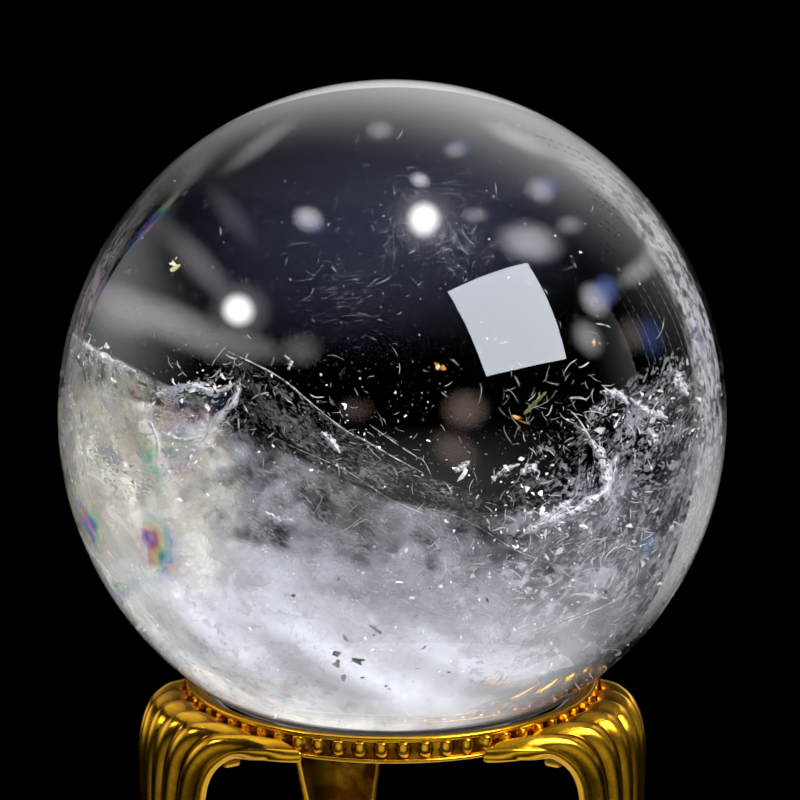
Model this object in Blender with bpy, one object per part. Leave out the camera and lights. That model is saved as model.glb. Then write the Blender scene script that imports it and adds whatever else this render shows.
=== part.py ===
"""Crystal ball on a gilt three-legged stand.

Units are metres, +Z is up, and the origin lies on the floor under the ball's centre.
The viewer's side is -Y. Azimuths are degrees round +Z, from the viewer's side towards +X.
"""
import math

import bmesh
import bpy
import numpy as np
from mathutils import Matrix, Vector

# Gap kept between touching pieces
CLEARANCE = 0.0003

# Ball and the cone that it rests on
BALL_RADIUS = 0.0325
SEAT_WIDTH = 0.0010
LINER_THICKNESS = 0.0004

# Seat ring
RING_BASE_HEIGHT = 0.0382
RING_BORE_RADIUS = 0.0180
FLANGE_THICKNESS = 0.0004
FLANGE_OVERHANG = 0.0008
LIP_WALL = 0.0006
RIM_THICKNESS = 0.0005

# Gallery strip of small rounded tongues round the ring
TONGUE_COUNT = 64
STRIP_THICKNESS = 0.0003
TONGUE_RELIEF = 0.00045

# Legs
LEG_AZIMUTHS = {"front_left": -60.0, "front_right": 60.0, "back": 195.0}
LEG_THICKNESS = 0.0012
REED_COUNT = 6
REED_RELIEF = 0.0006
ROOT_BELOW_RIM = 0.0008
ROOT_HALF_WIDTH = 0.0130
CREST_RISE = 0.0007
EDGE_DROOP = 0.0012
KNEE_REACH = 0.0052
KNEE_DROP = 0.0084
KNEE_HALF_WIDTH = 0.0056
KNEE_ARCH = 0.0011
CALF_HALF_WIDTH = 0.0050
ANKLE_HEIGHT = 0.0125
ANKLE_RADIUS = 0.0238
ANKLE_HALF_WIDTH = 0.0030
TOE_RADIUS = 0.0312
TOE_HALF_WIDTH = 0.0054

# Screwed joint between ring and leg
LUG_WIDTH = 0.0060
LUG_THICKNESS = 0.0018
LUG_DROP = 0.0034
SCREW_RADIUS = 0.0008
SCREW_LENGTH = 0.0052
SCREW_HEAD_RADIUS = 0.0014
SCREW_HEAD_THICKNESS = 0.0011
SCREW_SLOT_WIDTH = 0.0004
SCREW_SLOT_DEPTH = 0.0005
WASHER_THICKNESS = 0.0004
WASHER_RADIUS = 0.0016

# Felt pads under the feet
PAD_THICKNESS = 0.0012
PAD_RADIUS = 0.0036

# Facets
BALL_SEGMENTS = 48
BALL_RINGS = 24
RING_SEGMENTS = 72
ROUND_SEGMENTS = 20
POINTS_PER_TONGUE = 3
LEG_STEPS = 22
COLUMNS_PER_REED = 3

# Places that follow from the sizes above. The seat cone starts at the bore and touches at its middle.
SEAT_TO_CENTRE = BALL_RADIUS + LINER_THICKNESS + 2 * CLEARANCE
SEAT_END_TO_CENTRE = math.hypot(SEAT_TO_CENTRE, 0.5 * SEAT_WIDTH)
SEAT_ANGLE = math.asin(RING_BORE_RADIUS / SEAT_END_TO_CENTRE) + math.atan2(0.5 * SEAT_WIDTH, SEAT_TO_CENTRE)
SEAT_RADIUS = RING_BORE_RADIUS + 0.5 * SEAT_WIDTH * math.cos(SEAT_ANGLE)
SEAT_TOP_RADIUS = RING_BORE_RADIUS + SEAT_WIDTH * math.cos(SEAT_ANGLE)
SEAT_RISE = SEAT_WIDTH * math.sin(SEAT_ANGLE)
SEAT_LOW_HEIGHT = RING_BASE_HEIGHT + FLANGE_THICKNESS
SEAT_MID = Vector((SEAT_RADIUS, SEAT_LOW_HEIGHT + 0.5 * SEAT_RISE))
SEAT_NORMAL = Vector((-math.sin(SEAT_ANGLE), math.cos(SEAT_ANGLE)))
BALL_HEIGHT = SEAT_MID.y + math.sqrt(SEAT_TO_CENTRE ** 2 - SEAT_RADIUS ** 2)


def clear_height(radius):
    """Height under the ball at a radius from its axis, with the clearance taken off."""
    return BALL_HEIGHT - math.sqrt((BALL_RADIUS + CLEARANCE) ** 2 - radius ** 2)


LIP_RADIUS = SEAT_TOP_RADIUS + CLEARANCE
BAND_RADIUS = LIP_RADIUS + LIP_WALL
STRIP_RADIUS = BAND_RADIUS + CLEARANCE
TONGUE_RADIUS = STRIP_RADIUS + STRIP_THICKNESS + TONGUE_RELIEF
RIM_RADIUS = BAND_RADIUS + FLANGE_OVERHANG
RIM_TOP = clear_height(BAND_RADIUS)
RIM_BOTTOM = RIM_TOP - RIM_THICKNESS
ROOT_RADIUS = TONGUE_RADIUS + CLEARANCE
LUG_INNER_RADIUS = RING_BORE_RADIUS + CLEARANCE
LUG_OUTER_RADIUS = LUG_INNER_RADIUS + LUG_THICKNESS
LUG_BOTTOM = RING_BASE_HEIGHT - LUG_DROP
SCREW_HEIGHT = LUG_BOTTOM + 0.5 * LUG_DROP - 0.5 * CLEARANCE
SOLE_BOTTOM = PAD_THICKNESS + CLEARANCE
SOLE_HEIGHT = SOLE_BOTTOM + LEG_THICKNESS
PAD_REACH = TOE_RADIUS - PAD_RADIUS


def material(name, colour, roughness, metallic):
    """Plain Principled material."""
    made = bpy.data.materials.new(name)
    made.use_nodes = True
    shader = made.node_tree.nodes["Principled BSDF"]
    shader.inputs["Base Color"].default_value = (*colour, 1.0)
    shader.inputs["Roughness"].default_value = roughness
    shader.inputs["Metallic"].default_value = metallic
    return made


def add_object(name, mesh, surface=None):
    """Link a mesh into the scene as a named object."""
    made = bpy.data.objects.new(name, mesh)
    bpy.context.scene.collection.objects.link(made)
    if surface is not None:
        mesh.materials.clear()
        mesh.materials.append(surface)
    return made


def mesh_from(name, form):
    """Close a bmesh into a mesh whose faces point out."""
    bmesh.ops.recalc_face_normals(form, faces=form.faces)
    mesh = bpy.data.meshes.new(name)
    form.to_mesh(mesh)
    form.free()
    mesh.shade_smooth()
    mesh.set_sharp_from_angle(angle=math.radians(35))
    return mesh


def loops_to_mesh(name, loops, closed):
    """Skin equal loops of points in turn, then close the chain on itself or cap its ends across the loop."""
    form = bmesh.new()
    rings = [[form.verts.new(point) for point in loop] for loop in loops]
    pairs = list(zip(rings, rings[1:]))
    if closed:
        pairs.append((rings[-1], rings[0]))
    for ring, after in pairs:
        for k in range(len(ring)):
            last = (k + 1) % len(ring)
            form.faces.new((ring[k], ring[last], after[last], after[k]))
    if not closed:
        for ring in (rings[0], rings[-1]):
            for k in range(len(ring) // 2 - 1):
                form.faces.new((ring[k], ring[k + 1], ring[-2 - k], ring[-1 - k]))
    return mesh_from(name, form)


def turned(name, profile, segments):
    """Turn a closed profile of (radius, height) points once round +Z."""
    loops = []
    for k in range(segments):
        angle = 2 * math.pi * k / segments
        loops.append([(r * math.cos(angle), r * math.sin(angle), z) for r, z in profile])
    return loops_to_mesh(name, loops, closed=True)


def drum(name, radius, low, high):
    """Capped cylinder on +Z from low to high."""
    form = bmesh.new()
    place = Matrix.Translation((0, 0, 0.5 * (low + high)))
    bmesh.ops.create_cone(form, cap_ends=True, segments=ROUND_SEGMENTS, radius1=radius,
                          radius2=radius, depth=high - low, matrix=place)
    return mesh_from(name, form)


def block(name, low, high):
    """Box between two corners."""
    form = bmesh.new()
    corners = [Vector(low), Vector(high)]
    size = corners[1] - corners[0]
    place = Matrix.Translation((corners[0] + corners[1]) / 2) @ Matrix.Diagonal((*size, 1.0))
    bmesh.ops.create_cube(form, size=1.0, matrix=place)
    return mesh_from(name, form)


def radial_place(azimuth, height):
    """Matrix that lays +Z along the outward direction at an azimuth, at a height."""
    lay = Matrix.Rotation(math.radians(90), 4, "X")
    return Matrix.Rotation(math.radians(azimuth), 4, "Z") @ Matrix.Translation((0, 0, height)) @ lay


def combine(target, tool, operation):
    """Boolean modifier with a hidden helper object."""
    tool.hide_render = True
    tool.display_type = "WIRE"
    step = target.modifiers.new(tool.name, "BOOLEAN")
    step.operation = operation
    step.object = tool


def make_ball(surface):
    """Solid polished sphere at its seated height."""
    form = bmesh.new()
    bmesh.ops.create_uvsphere(form, u_segments=BALL_SEGMENTS, v_segments=BALL_RINGS, radius=BALL_RADIUS)
    ball = add_object("crystal_ball", mesh_from("crystal_ball", form), surface)
    ball.location = (0, 0, BALL_HEIGHT)


def ring_profile():
    """Section of the ring: bore, seat cone, upstanding lip, rim, band and lower flange."""
    flange_top = RING_BASE_HEIGHT + FLANGE_THICKNESS
    return [
        (RING_BORE_RADIUS, RING_BASE_HEIGHT),
        (RIM_RADIUS, RING_BASE_HEIGHT),
        (RIM_RADIUS, flange_top),
        (BAND_RADIUS, flange_top),
        (BAND_RADIUS, RIM_BOTTOM),
        (RIM_RADIUS, RIM_BOTTOM),
        (RIM_RADIUS, RIM_TOP),
        (BAND_RADIUS, RIM_TOP),
        (LIP_RADIUS, clear_height(LIP_RADIUS)),
        (LIP_RADIUS, SEAT_LOW_HEIGHT + SEAT_RISE),
        (SEAT_TOP_RADIUS, SEAT_LOW_HEIGHT + SEAT_RISE),
        (RING_BORE_RADIUS, SEAT_LOW_HEIGHT),
    ]


def make_ring(surface):
    """Cast seat ring with one drilled lug behind each leg."""
    ring = add_object("seat_ring", turned("seat_ring", ring_profile(), RING_SEGMENTS), surface)
    half = 0.5 * LUG_WIDTH
    lug_top = RING_BASE_HEIGHT + 0.5 * FLANGE_THICKNESS
    for side, azimuth in LEG_AZIMUTHS.items():
        turn = Matrix.Rotation(math.radians(azimuth), 4, "Z")
        lug_low = (-half, -LUG_OUTER_RADIUS, LUG_BOTTOM)
        lug_mesh = block("lug_" + side, lug_low, (half, -LUG_INNER_RADIUS, lug_top))
        lug = add_object("lug_" + side, lug_mesh)
        lug.matrix_world = turn
        combine(ring, lug, "UNION")
        hole_mesh = drum("lug_hole_" + side, SCREW_RADIUS + CLEARANCE, 0.5 * RING_BORE_RADIUS, ROOT_RADIUS)
        hole = add_object("lug_hole_" + side, hole_mesh)
        hole.matrix_world = radial_place(azimuth, SCREW_HEIGHT)
        combine(ring, hole, "DIFFERENCE")


def make_liner(surface):
    """Thin felt ring that lies on the seat cone under the ball."""
    along = Vector((math.cos(SEAT_ANGLE), math.sin(SEAT_ANGLE)))
    half = 0.5 * SEAT_WIDTH - 0.5 * CLEARANCE
    low = SEAT_MID + SEAT_NORMAL * CLEARANCE
    high = low + SEAT_NORMAL * LINER_THICKNESS
    profile = [low - along * half, low + along * half, high + along * half, high - along * half]
    add_object("seat_liner", turned("seat_liner", profile, RING_SEGMENTS), surface)


def make_gallery(surface):
    """Stamped strip wrapped round the band, its outside standing out in rounded tongues."""
    low = RING_BASE_HEIGHT + FLANGE_THICKNESS + CLEARANCE
    high = RIM_BOTTOM - CLEARANCE
    count = TONGUE_COUNT * POINTS_PER_TONGUE
    loops = []
    for k in range(count):
        angle = 2 * math.pi * k / count
        bulge = math.sin(math.pi * (k % POINTS_PER_TONGUE) / POINTS_PER_TONGUE)
        outer = STRIP_RADIUS + STRIP_THICKNESS + TONGUE_RELIEF * bulge
        section = [(STRIP_RADIUS, low), (outer, low), (outer, high), (STRIP_RADIUS, high)]
        loops.append([(r * math.sin(angle), -r * math.cos(angle), z) for r, z in section])
    add_object("gallery_strip", loops_to_mesh("gallery_strip", loops, closed=True), surface)


def smooth_stations(stations, count):
    """Smooth curve through the stations (Catmull-Rom), sampled at even steps."""
    points = np.array(stations)
    padded = np.vstack([2 * points[0] - points[1], points, 2 * points[-1] - points[-2]])
    steps = np.linspace(0, len(points) - 1, count)
    first = np.minimum(steps.astype(int), len(points) - 2)
    t = (steps - first)[:, None]
    p0, p1, p2, p3 = (padded[first + k] for k in range(4))
    bend = (2 * p0 - 5 * p1 + 4 * p2 - p3) * t ** 2 + (3 * p1 - p0 - 3 * p2 + p3) * t ** 3
    return 0.5 * (2 * p1 + (p2 - p0) * t + bend)


def leg_stations():
    """Leg stations from ring to toe: radius, height, half width, arch of the edges, droop of the edges."""
    root_height = RIM_BOTTOM - ROOT_BELOW_RIM
    crest_height = root_height + CREST_RISE
    knee_height = crest_height - KNEE_DROP
    calf_height = 0.6 * knee_height + 0.4 * ANKLE_HEIGHT
    knee = ROOT_RADIUS + KNEE_REACH
    instep = 0.7 * ANKLE_RADIUS + 0.3 * TOE_RADIUS
    return [
        (ROOT_RADIUS, root_height, ROOT_HALF_WIDTH, 0.0, 0.25 * EDGE_DROOP),
        (ROOT_RADIUS + 0.34 * KNEE_REACH, crest_height, 0.85 * ROOT_HALF_WIDTH, 0.2 * KNEE_ARCH,
         0.75 * EDGE_DROOP),
        (ROOT_RADIUS + 0.69 * KNEE_REACH, crest_height - 0.05 * KNEE_DROP,
         0.4 * ROOT_HALF_WIDTH + 0.6 * KNEE_HALF_WIDTH, 0.6 * KNEE_ARCH, EDGE_DROOP),
        (ROOT_RADIUS + 0.93 * KNEE_REACH, crest_height - 0.37 * KNEE_DROP,
         0.15 * ROOT_HALF_WIDTH + 0.85 * KNEE_HALF_WIDTH, 0.8 * KNEE_ARCH, 0.8 * EDGE_DROOP),
        (knee, knee_height, KNEE_HALF_WIDTH, KNEE_ARCH, 0.0),
        (0.85 * knee + 0.15 * ANKLE_RADIUS, calf_height, CALF_HALF_WIDTH, 0.9 * KNEE_ARCH, 0.0),
        (ANKLE_RADIUS, ANKLE_HEIGHT, ANKLE_HALF_WIDTH, 0.6 * KNEE_ARCH, 0.0),
        (instep, SOLE_HEIGHT + 0.25 * ANKLE_HEIGHT, 0.5 * (ANKLE_HALF_WIDTH + TOE_HALF_WIDTH),
         0.4 * KNEE_ARCH, 0.0),
        (TOE_RADIUS, SOLE_HEIGHT + REED_RELIEF, TOE_HALF_WIDTH, 0.1 * KNEE_ARCH, 0.0),
    ]


def leg_mesh():
    """Cast leg in front of the axis: reeds fan out from it round the ring, and its back is smooth."""
    radius, height, half_width, arch, droop = smooth_stations(leg_stations(), LEG_STEPS).T[:, :, None]
    across = np.linspace(-1, 1, REED_COUNT * COLUMNS_PER_REED + 1)[None, :]
    angle = half_width * across / radius
    line_radius = radius - arch * across ** 2
    line_height = height - droop * across ** 2
    run = np.gradient(line_radius, axis=0)
    rise = np.gradient(line_height, axis=0)
    length = np.hypot(run, rise)
    reed = REED_RELIEF * np.abs(np.sin(0.5 * math.pi * REED_COUNT * (across + 1)))
    sheets = []
    for lift in (reed, -LEG_THICKNESS):
        out = line_radius - lift * rise / length
        up = line_height + lift * run / length
        sheets.append(np.stack([out * np.sin(angle), -out * np.cos(angle), up], axis=-1))
    face, back = sheets
    loops = [list(map(tuple, row)) for row in np.concatenate([face, back[:, ::-1]], axis=1)]
    return loops_to_mesh("leg", loops, closed=False)


def make_legs(surface):
    """Join boss and sole to the strap, drill the boss, and set one copy at each azimuth."""
    strap = add_object("leg_pattern", leg_mesh())
    half = 0.5 * LUG_WIDTH
    boss_face = LUG_OUTER_RADIUS + CLEARANCE
    boss_end = ROOT_RADIUS + KNEE_REACH - 0.75 * LEG_THICKNESS
    boss_top = RING_BASE_HEIGHT - CLEARANCE
    boss_mesh = block("boss", (-half, -boss_end, LUG_BOTTOM), (half, -boss_face, boss_top))
    combine(strap, add_object("boss", boss_mesh), "UNION")
    sole = add_object("sole", drum("sole", PAD_RADIUS, SOLE_BOTTOM, SOLE_HEIGHT))
    sole.location = (0, -PAD_REACH, 0)
    combine(strap, sole, "UNION")
    hole_end = LUG_INNER_RADIUS + SCREW_LENGTH + CLEARANCE
    hole = add_object("hole", drum("hole", SCREW_RADIUS + CLEARANCE, RING_BORE_RADIUS, hole_end))
    hole.matrix_world = radial_place(0.0, SCREW_HEIGHT)
    combine(strap, hole, "DIFFERENCE")
    bpy.context.view_layer.update()
    joined = bpy.data.meshes.new_from_object(strap.evaluated_get(bpy.context.evaluated_depsgraph_get()))
    for helper in (*[step.object for step in strap.modifiers], strap):
        bpy.data.objects.remove(helper)
    for side, azimuth in LEG_AZIMUTHS.items():
        leg = add_object("leg_" + side, joined.copy(), surface)
        leg.rotation_euler = (0, 0, math.radians(azimuth))


def make_fasteners(screw_surface, washer_surface):
    """One slotted screw and washer behind each leg, driven outwards from inside the ring."""
    washer_out = LUG_INNER_RADIUS - CLEARANCE
    washer_in = washer_out - WASHER_THICKNESS
    head_out = washer_in - CLEARANCE
    head_in = head_out - SCREW_HEAD_THICKNESS
    tip = LUG_INNER_RADIUS + SCREW_LENGTH
    bore = SCREW_RADIUS + CLEARANCE
    slot_half = 0.5 * SCREW_SLOT_WIDTH
    screw_section = [
        (0, head_in), (SCREW_HEAD_RADIUS, head_in), (SCREW_HEAD_RADIUS, head_out),
        (SCREW_RADIUS, head_out), (SCREW_RADIUS, tip), (0, tip)]
    washer_section = [
        (bore, washer_in), (WASHER_RADIUS, washer_in), (WASHER_RADIUS, washer_out), (bore, washer_out)]
    for side, azimuth in LEG_AZIMUTHS.items():
        place = radial_place(azimuth, SCREW_HEIGHT)
        screw = add_object("leg_screw_" + side, turned_solid("leg_screw", screw_section), screw_surface)
        screw.matrix_world = place
        slot_low = (-SCREW_HEAD_RADIUS - CLEARANCE, -slot_half, head_in - CLEARANCE)
        slot_high = (SCREW_HEAD_RADIUS + CLEARANCE, slot_half, head_in + SCREW_SLOT_DEPTH)
        slot = add_object("slot_" + side, block("slot", slot_low, slot_high))
        slot.matrix_world = place
        combine(screw, slot, "DIFFERENCE")
        washer_mesh = turned("leg_washer", washer_section, ROUND_SEGMENTS)
        washer = add_object("leg_washer_" + side, washer_mesh, washer_surface)
        washer.matrix_world = place


def turned_solid(name, section):
    """Turn an open section that starts and ends on the axis, with its poles merged."""
    form = bmesh.new()
    points = [form.verts.new((r, 0, z)) for r, z in section]
    edges = [form.edges.new(pair) for pair in zip(points, points[1:])]
    bmesh.ops.spin(form, geom=points + edges, cent=(0, 0, 0), axis=(0, 0, 1),
                   angle=2 * math.pi, steps=ROUND_SEGMENTS, use_merge=True)
    bmesh.ops.remove_doubles(form, verts=form.verts, dist=0.01 * CLEARANCE)
    return mesh_from(name, form)


def make_pads(surface):
    """Felt disc under each sole."""
    for side, azimuth in LEG_AZIMUTHS.items():
        pad = add_object("foot_pad_" + side, drum("foot_pad", PAD_RADIUS, 0.0, PAD_THICKNESS), surface)
        angle = math.radians(azimuth)
        pad.location = (PAD_REACH * math.sin(angle), -PAD_REACH * math.cos(angle), 0)


def main():
    """Empty the scene and build every piece."""
    for old in list(bpy.data.objects):
        bpy.data.objects.remove(old)
    crystal = material("rock crystal", (0.92, 0.93, 0.95), 0.02, 0.0)
    gilt = material("gilt cast brass", (0.86, 0.58, 0.10), 0.18, 1.0)
    steel = material("steel", (0.62, 0.62, 0.63), 0.30, 1.0)
    felt = material("black felt", (0.02, 0.02, 0.025), 0.95, 0.0)
    make_ball(crystal)
    make_ring(gilt)
    make_gallery(gilt)
    make_liner(felt)
    make_legs(gilt)
    make_fasteners(steel, steel)
    make_pads(felt)


main()
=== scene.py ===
"""Looks for a rock-crystal ball on a gilt stand: fine surfaces, stone flaws, finishes, stage and camera.

Lengths are metres unless a name ends in _MM or _PX or the comment above it names another unit. Pixels are
those of an 800 x 800 picture, counted from its upper left corner.
"""
import math

import bpy
import numpy as np
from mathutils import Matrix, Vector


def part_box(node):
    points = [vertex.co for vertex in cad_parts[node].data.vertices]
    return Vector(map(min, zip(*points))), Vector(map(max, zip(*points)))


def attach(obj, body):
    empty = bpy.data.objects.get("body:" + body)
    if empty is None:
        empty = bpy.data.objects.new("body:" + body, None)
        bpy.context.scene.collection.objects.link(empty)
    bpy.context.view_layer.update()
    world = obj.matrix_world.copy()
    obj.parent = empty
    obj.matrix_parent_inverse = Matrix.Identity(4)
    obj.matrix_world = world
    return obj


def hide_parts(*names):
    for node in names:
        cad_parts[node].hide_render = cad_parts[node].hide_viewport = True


bl_info = {
    "name": "Crystal ball on a gilt stand",
    "version": (1, 0, 0),
    "blender": (4, 5, 0),
    "location": "View3D > Sidebar > Crystal ball",
    "description": "Dresses the packed crystal ball and its stand with fine surfaces and finishes",
    "category": "Object",
}

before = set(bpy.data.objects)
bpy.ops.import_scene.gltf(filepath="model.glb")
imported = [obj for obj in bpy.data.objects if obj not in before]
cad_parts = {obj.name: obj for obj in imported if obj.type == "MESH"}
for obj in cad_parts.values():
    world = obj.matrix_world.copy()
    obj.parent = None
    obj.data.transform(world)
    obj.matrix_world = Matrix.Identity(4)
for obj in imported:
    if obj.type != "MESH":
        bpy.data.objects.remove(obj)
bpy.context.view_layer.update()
MM = 0.001
# Degrees from the front, positive towards the right
LEG_AZIMUTHS = {"front_left": -60.0, "front_right": 60.0, "back": 195.0}

# Places read from the frame
BALL_LOW, BALL_HIGH = (np.array(corner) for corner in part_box("crystal_ball"))
BALL_CENTRE = 0.5 * (BALL_LOW + BALL_HIGH)
BALL_RADIUS = 0.5 * float(BALL_HIGH[2] - BALL_LOW[2])
RIM_TOP = float(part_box("seat_ring")[1].z)
RIM_RADIUS = float(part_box("seat_ring")[1].x)
LUG_BOTTOM = float(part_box("seat_ring")[0].z)
STRIP_RADIUS = float(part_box("gallery_strip")[1].x)
PAD_HEIGHT = float(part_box("foot_pad_back")[1].z)

# Sizes repeated from the part, which the boxes don't give
CLEARANCE = 0.3 * MM
LUG_HALF_WIDTH = 3.0 * MM
LUG_INNER_RADIUS, LUG_OUTER_RADIUS = 18.3 * MM, 20.1 * MM
RING_BASE = LUG_BOTTOM + 3.4 * MM
RING_BORE = 18.0 * MM
BAND_RADIUS = RIM_RADIUS - 0.8 * MM
FLANGE_TOP, RIM_BOTTOM = RING_BASE + 0.4 * MM, RIM_TOP - 0.5 * MM
PAD_RADIUS, PAD_REACH = 3.6 * MM, 27.6 * MM

# The picture: where the ball's outline lies and how the camera sees it
PICTURE_PX = 800
BALL_CENTRE_PX = (392.3, 414.0)
BALL_RADIUS_PX = 334.7
CAMERA_DISTANCE = 6.0 * BALL_RADIUS
CAMERA_ELEVATION = math.radians(10.0)
SENSOR_MM = 36.0
FOCAL_PX = BALL_RADIUS_PX * math.sqrt((CAMERA_DISTANCE / BALL_RADIUS) ** 2 - 1)
VIEW_FORWARD = np.array([0.0, math.cos(CAMERA_ELEVATION), -math.sin(CAMERA_ELEVATION)])
VIEW_UP = np.array([0.0, math.sin(CAMERA_ELEVATION), math.cos(CAMERA_ELEVATION)])
VIEW_RIGHT = np.array([1.0, 0.0, 0.0])
CAMERA_PLACE = BALL_CENTRE - CAMERA_DISTANCE * VIEW_FORWARD
QUARTZ_IOR = 1.544

# Flaws keep inside a share of the ball's radius. Their depths are shares of a sight line's way through it
SKIN_SHARE = 0.985
NEAREST, FARTHEST = 0.003, 0.99

# Finishes of veils: colour (None for the colour in the ball's settings), size of patches and of grain in mm,
# the noise values where the veil begins and where it is densest, and its alpha there
VEIL_LOOKS = {
    "quartz milky cloud": (None, 6, 1.6, 0.14, 0.36, 0.75),
    "quartz milk": (None, 14, 4.0, 0.05, 0.3, 0.9),
    "quartz grainy veil": (None, 2.4, 0.4, 0.2, 0.36, 0.9),
    "quartz speckled veil": (None, 2.0, 0.3, 0.27, 0.32, 1.0),
    "quartz feather": ("#DEDADD", 1.2, 0.3, 0.17, 0.27, 0.95),
    "quartz warm veil": ("#F3EAD6", 5, 1.0, 0.12, 0.36, 0.9),
    # Painted light: the next three finishes paint blurred reflections, out-of-focus lamps, halos round the
    # glints and colour fringes on the rim; the brown one also makes soft brown spots
    "quartz haze": ("#B9B4B4", 20, 9.0, 0.0, 0.2, 0.9),
    "quartz brown haze": ("#8A7468", 20, 9.0, 0.0, 0.2, 0.9),
    "quartz blue haze": ("#40589E", 20, 9.0, 0.0, 0.2, 0.9),
    "quartz mottled veil": ("#E2E0E4", 1.6, 0.7, 0.2, 0.34, 0.85),
    "quartz mottled edge": ("#C4BABC", 2.2, 0.8, 0.12, 0.34, 0.8),
    # Painted reflection: this grey stands in for the dim grey reflection seen through the ball's top
    "quartz smoky base": ("#5A5654", 6, 1.5, 0.0, 0.15, 0.97),
    "quartz crack edge": ("#FBF9F4", 1.0, 0.25, 0.22, 0.3, 0.9),
    "polish scratch": ("#F4F4F8", 4, 0.8, 0.05, 0.3, 0.2),
    "quartz thread": ("#F6F4EE", 3, 0.5, 0.1, 0.3, 0.5),
}

# Finishes of chips: light colour (None for the flake colour in the ball's settings), dark colour, roughness
CHIP_LOOKS = {
    "quartz bright flake": (None, "#B9B7B3", 0.2),
    "quartz shadowed flake": ("#6A6660", "#2B2926", 0.35),
    "amber fleck": ("#E0A02C", "#8C3E10", 0.25),
    "pale gold fleck": ("#F4E6BE", "#C79A4E", 0.25),
    "green fleck": ("#8C8A2E", "#4E5020", 0.3),
}

# Veils: finish, upper and lower picture curve, depth at both, strength at the corners, and width of the soft
# edge as a share of the sheet
EVEN = ((1, 1), (1, 1))
LOW_EDGE_PX = [(90, 560), (200, 680), (330, 728), (450, 732), (570, 690), (680, 560)]
CRACK_PX = [(229, 352), (282, 379), (323, 413), (369, 443), (423, 473), (500, 500)]
VEIL_SHEETS_PX = {
    "milk_bottom": (
        "quartz milk", [(130, 560), (250, 585), (360, 600), (480, 620), (620, 600)], LOW_EDGE_PX,
        (0.35, 0.25), ((0.4, 0), (1.2, 0.5)), 0.3),
    "milk_far": (
        "quartz milk", [(110, 520), (250, 540), (360, 560), (480, 590), (640, 560)], LOW_EDGE_PX,
        (0.75, 0.65), ((0.35, 0), (0.85, 0)), 0.3),
    "cloud_near": (
        "quartz milky cloud", [(120, 500), (250, 540), (400, 565), (560, 570), (690, 520)], LOW_EDGE_PX,
        (0.3, 0.4), ((0.65, 0.3), (0.75, 0.3))),
    "cloud_middle": (
        "quartz milky cloud", [(75, 430), (240, 490), (400, 540), (560, 530), (700, 460)], LOW_EDGE_PX,
        (0.5, 0.6), ((0.65, 0.3), (0.8, 0.3))),
    "cloud_far": (
        "quartz milky cloud", [(65, 400), (240, 430), (400, 500), (560, 500), (715, 400)], LOW_EDGE_PX,
        (0.7, 0.8), ((0.45, 0.3), (0.8, 0.3))),
    "veil_main": (
        "quartz grainy veil", CRACK_PX,
        [(180, 500), (260, 560), (330, 600), (390, 620), (450, 630), (560, 620)], (0.2, 0.5),
        ((0.08, 0.16), (0.8, 0.55))),
    "veil_crack": (
        "quartz speckled veil", CRACK_PX,
        [(225, 400), (275, 430), (320, 460), (370, 490), (425, 520), (520, 545)], (0.18, 0.3),
        ((0.5, 0.5), (0.12, 0.2))),
    "veil_left": (
        "quartz warm veil", [(62, 330), (95, 345), (134, 366), (170, 385), (215, 400)],
        [(70, 540), (110, 600), (150, 640), (190, 620), (250, 540)], (0.35, 0.6), ((0.6, 0.8), (0.6, 0.65)),
        0.1),
    "veil_left_far": (
        "quartz warm veil", [(62, 380), (100, 390), (140, 400), (190, 410), (230, 420)],
        [(70, 540), (110, 600), (150, 640), (190, 640), (270, 560)], (0.7, 0.8), ((0.8, 0.8), (0.6, 0.55)),
        0.1),
    "veil_left_near": (
        "quartz speckled veil", [(64, 325), (95, 345), (134, 366), (170, 385), (235, 360)],
        [(64, 470), (100, 500), (140, 510), (190, 480), (260, 430)], (0.2, 0.4)),
    "veil_right": (
        "quartz grainy veil", [(470, 500), (540, 470), (600, 400), (650, 380), (716, 340)],
        [(520, 640), (590, 630), (650, 570), (690, 500), (722, 410)], (0.2, 0.5), ((0.2, 0.4), (0.42, 0.4))),
    "veil_right_far": (
        "quartz speckled veil", [(470, 490), (560, 430), (640, 370), (718, 320)],
        [(500, 640), (590, 620), (670, 560), (722, 430)], (0.6, 0.7), ((0.15, 0.3), (0.36, 0.3))),
    "veil_low_right": (
        "quartz mottled veil", [(440, 540), (520, 560), (600, 560), (660, 530), (712, 470)],
        [(420, 725), (500, 722), (580, 690), (640, 630), (700, 540)], (0.25, 0.3), ((0.6, 0.5), (0.65, 0.5))),
    "veil_low_left": (
        "quartz mottled veil", [(150, 560), (220, 580), (300, 590), (420, 600)],
        [(170, 640), (240, 700), (320, 725), (430, 728)], (0.2, 0.15), ((0.5, 0.3), (0.5, 0.3))),
}
# The open fracture: the same without the finish, and the height of its ripple
RAINBOW_SHEET_PX = (
    [(146, 425), (165, 398), (205, 388), (245, 385)], [(150, 512), (162, 502), (190, 478), (220, 430)],
    (0.22, 0.34), ((0.2, 0.12), (0.6, 0.15)), 0.2, 0.01)

# Bands along the ball's outline: start and end in degrees clockwise from the right, width in pixels
EDGE_BANDS_PX = {"edge_right": (-62, 62, 34), "edge_left": (228, 150, 20)}
EDGE_GAP_PX = 2

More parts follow.
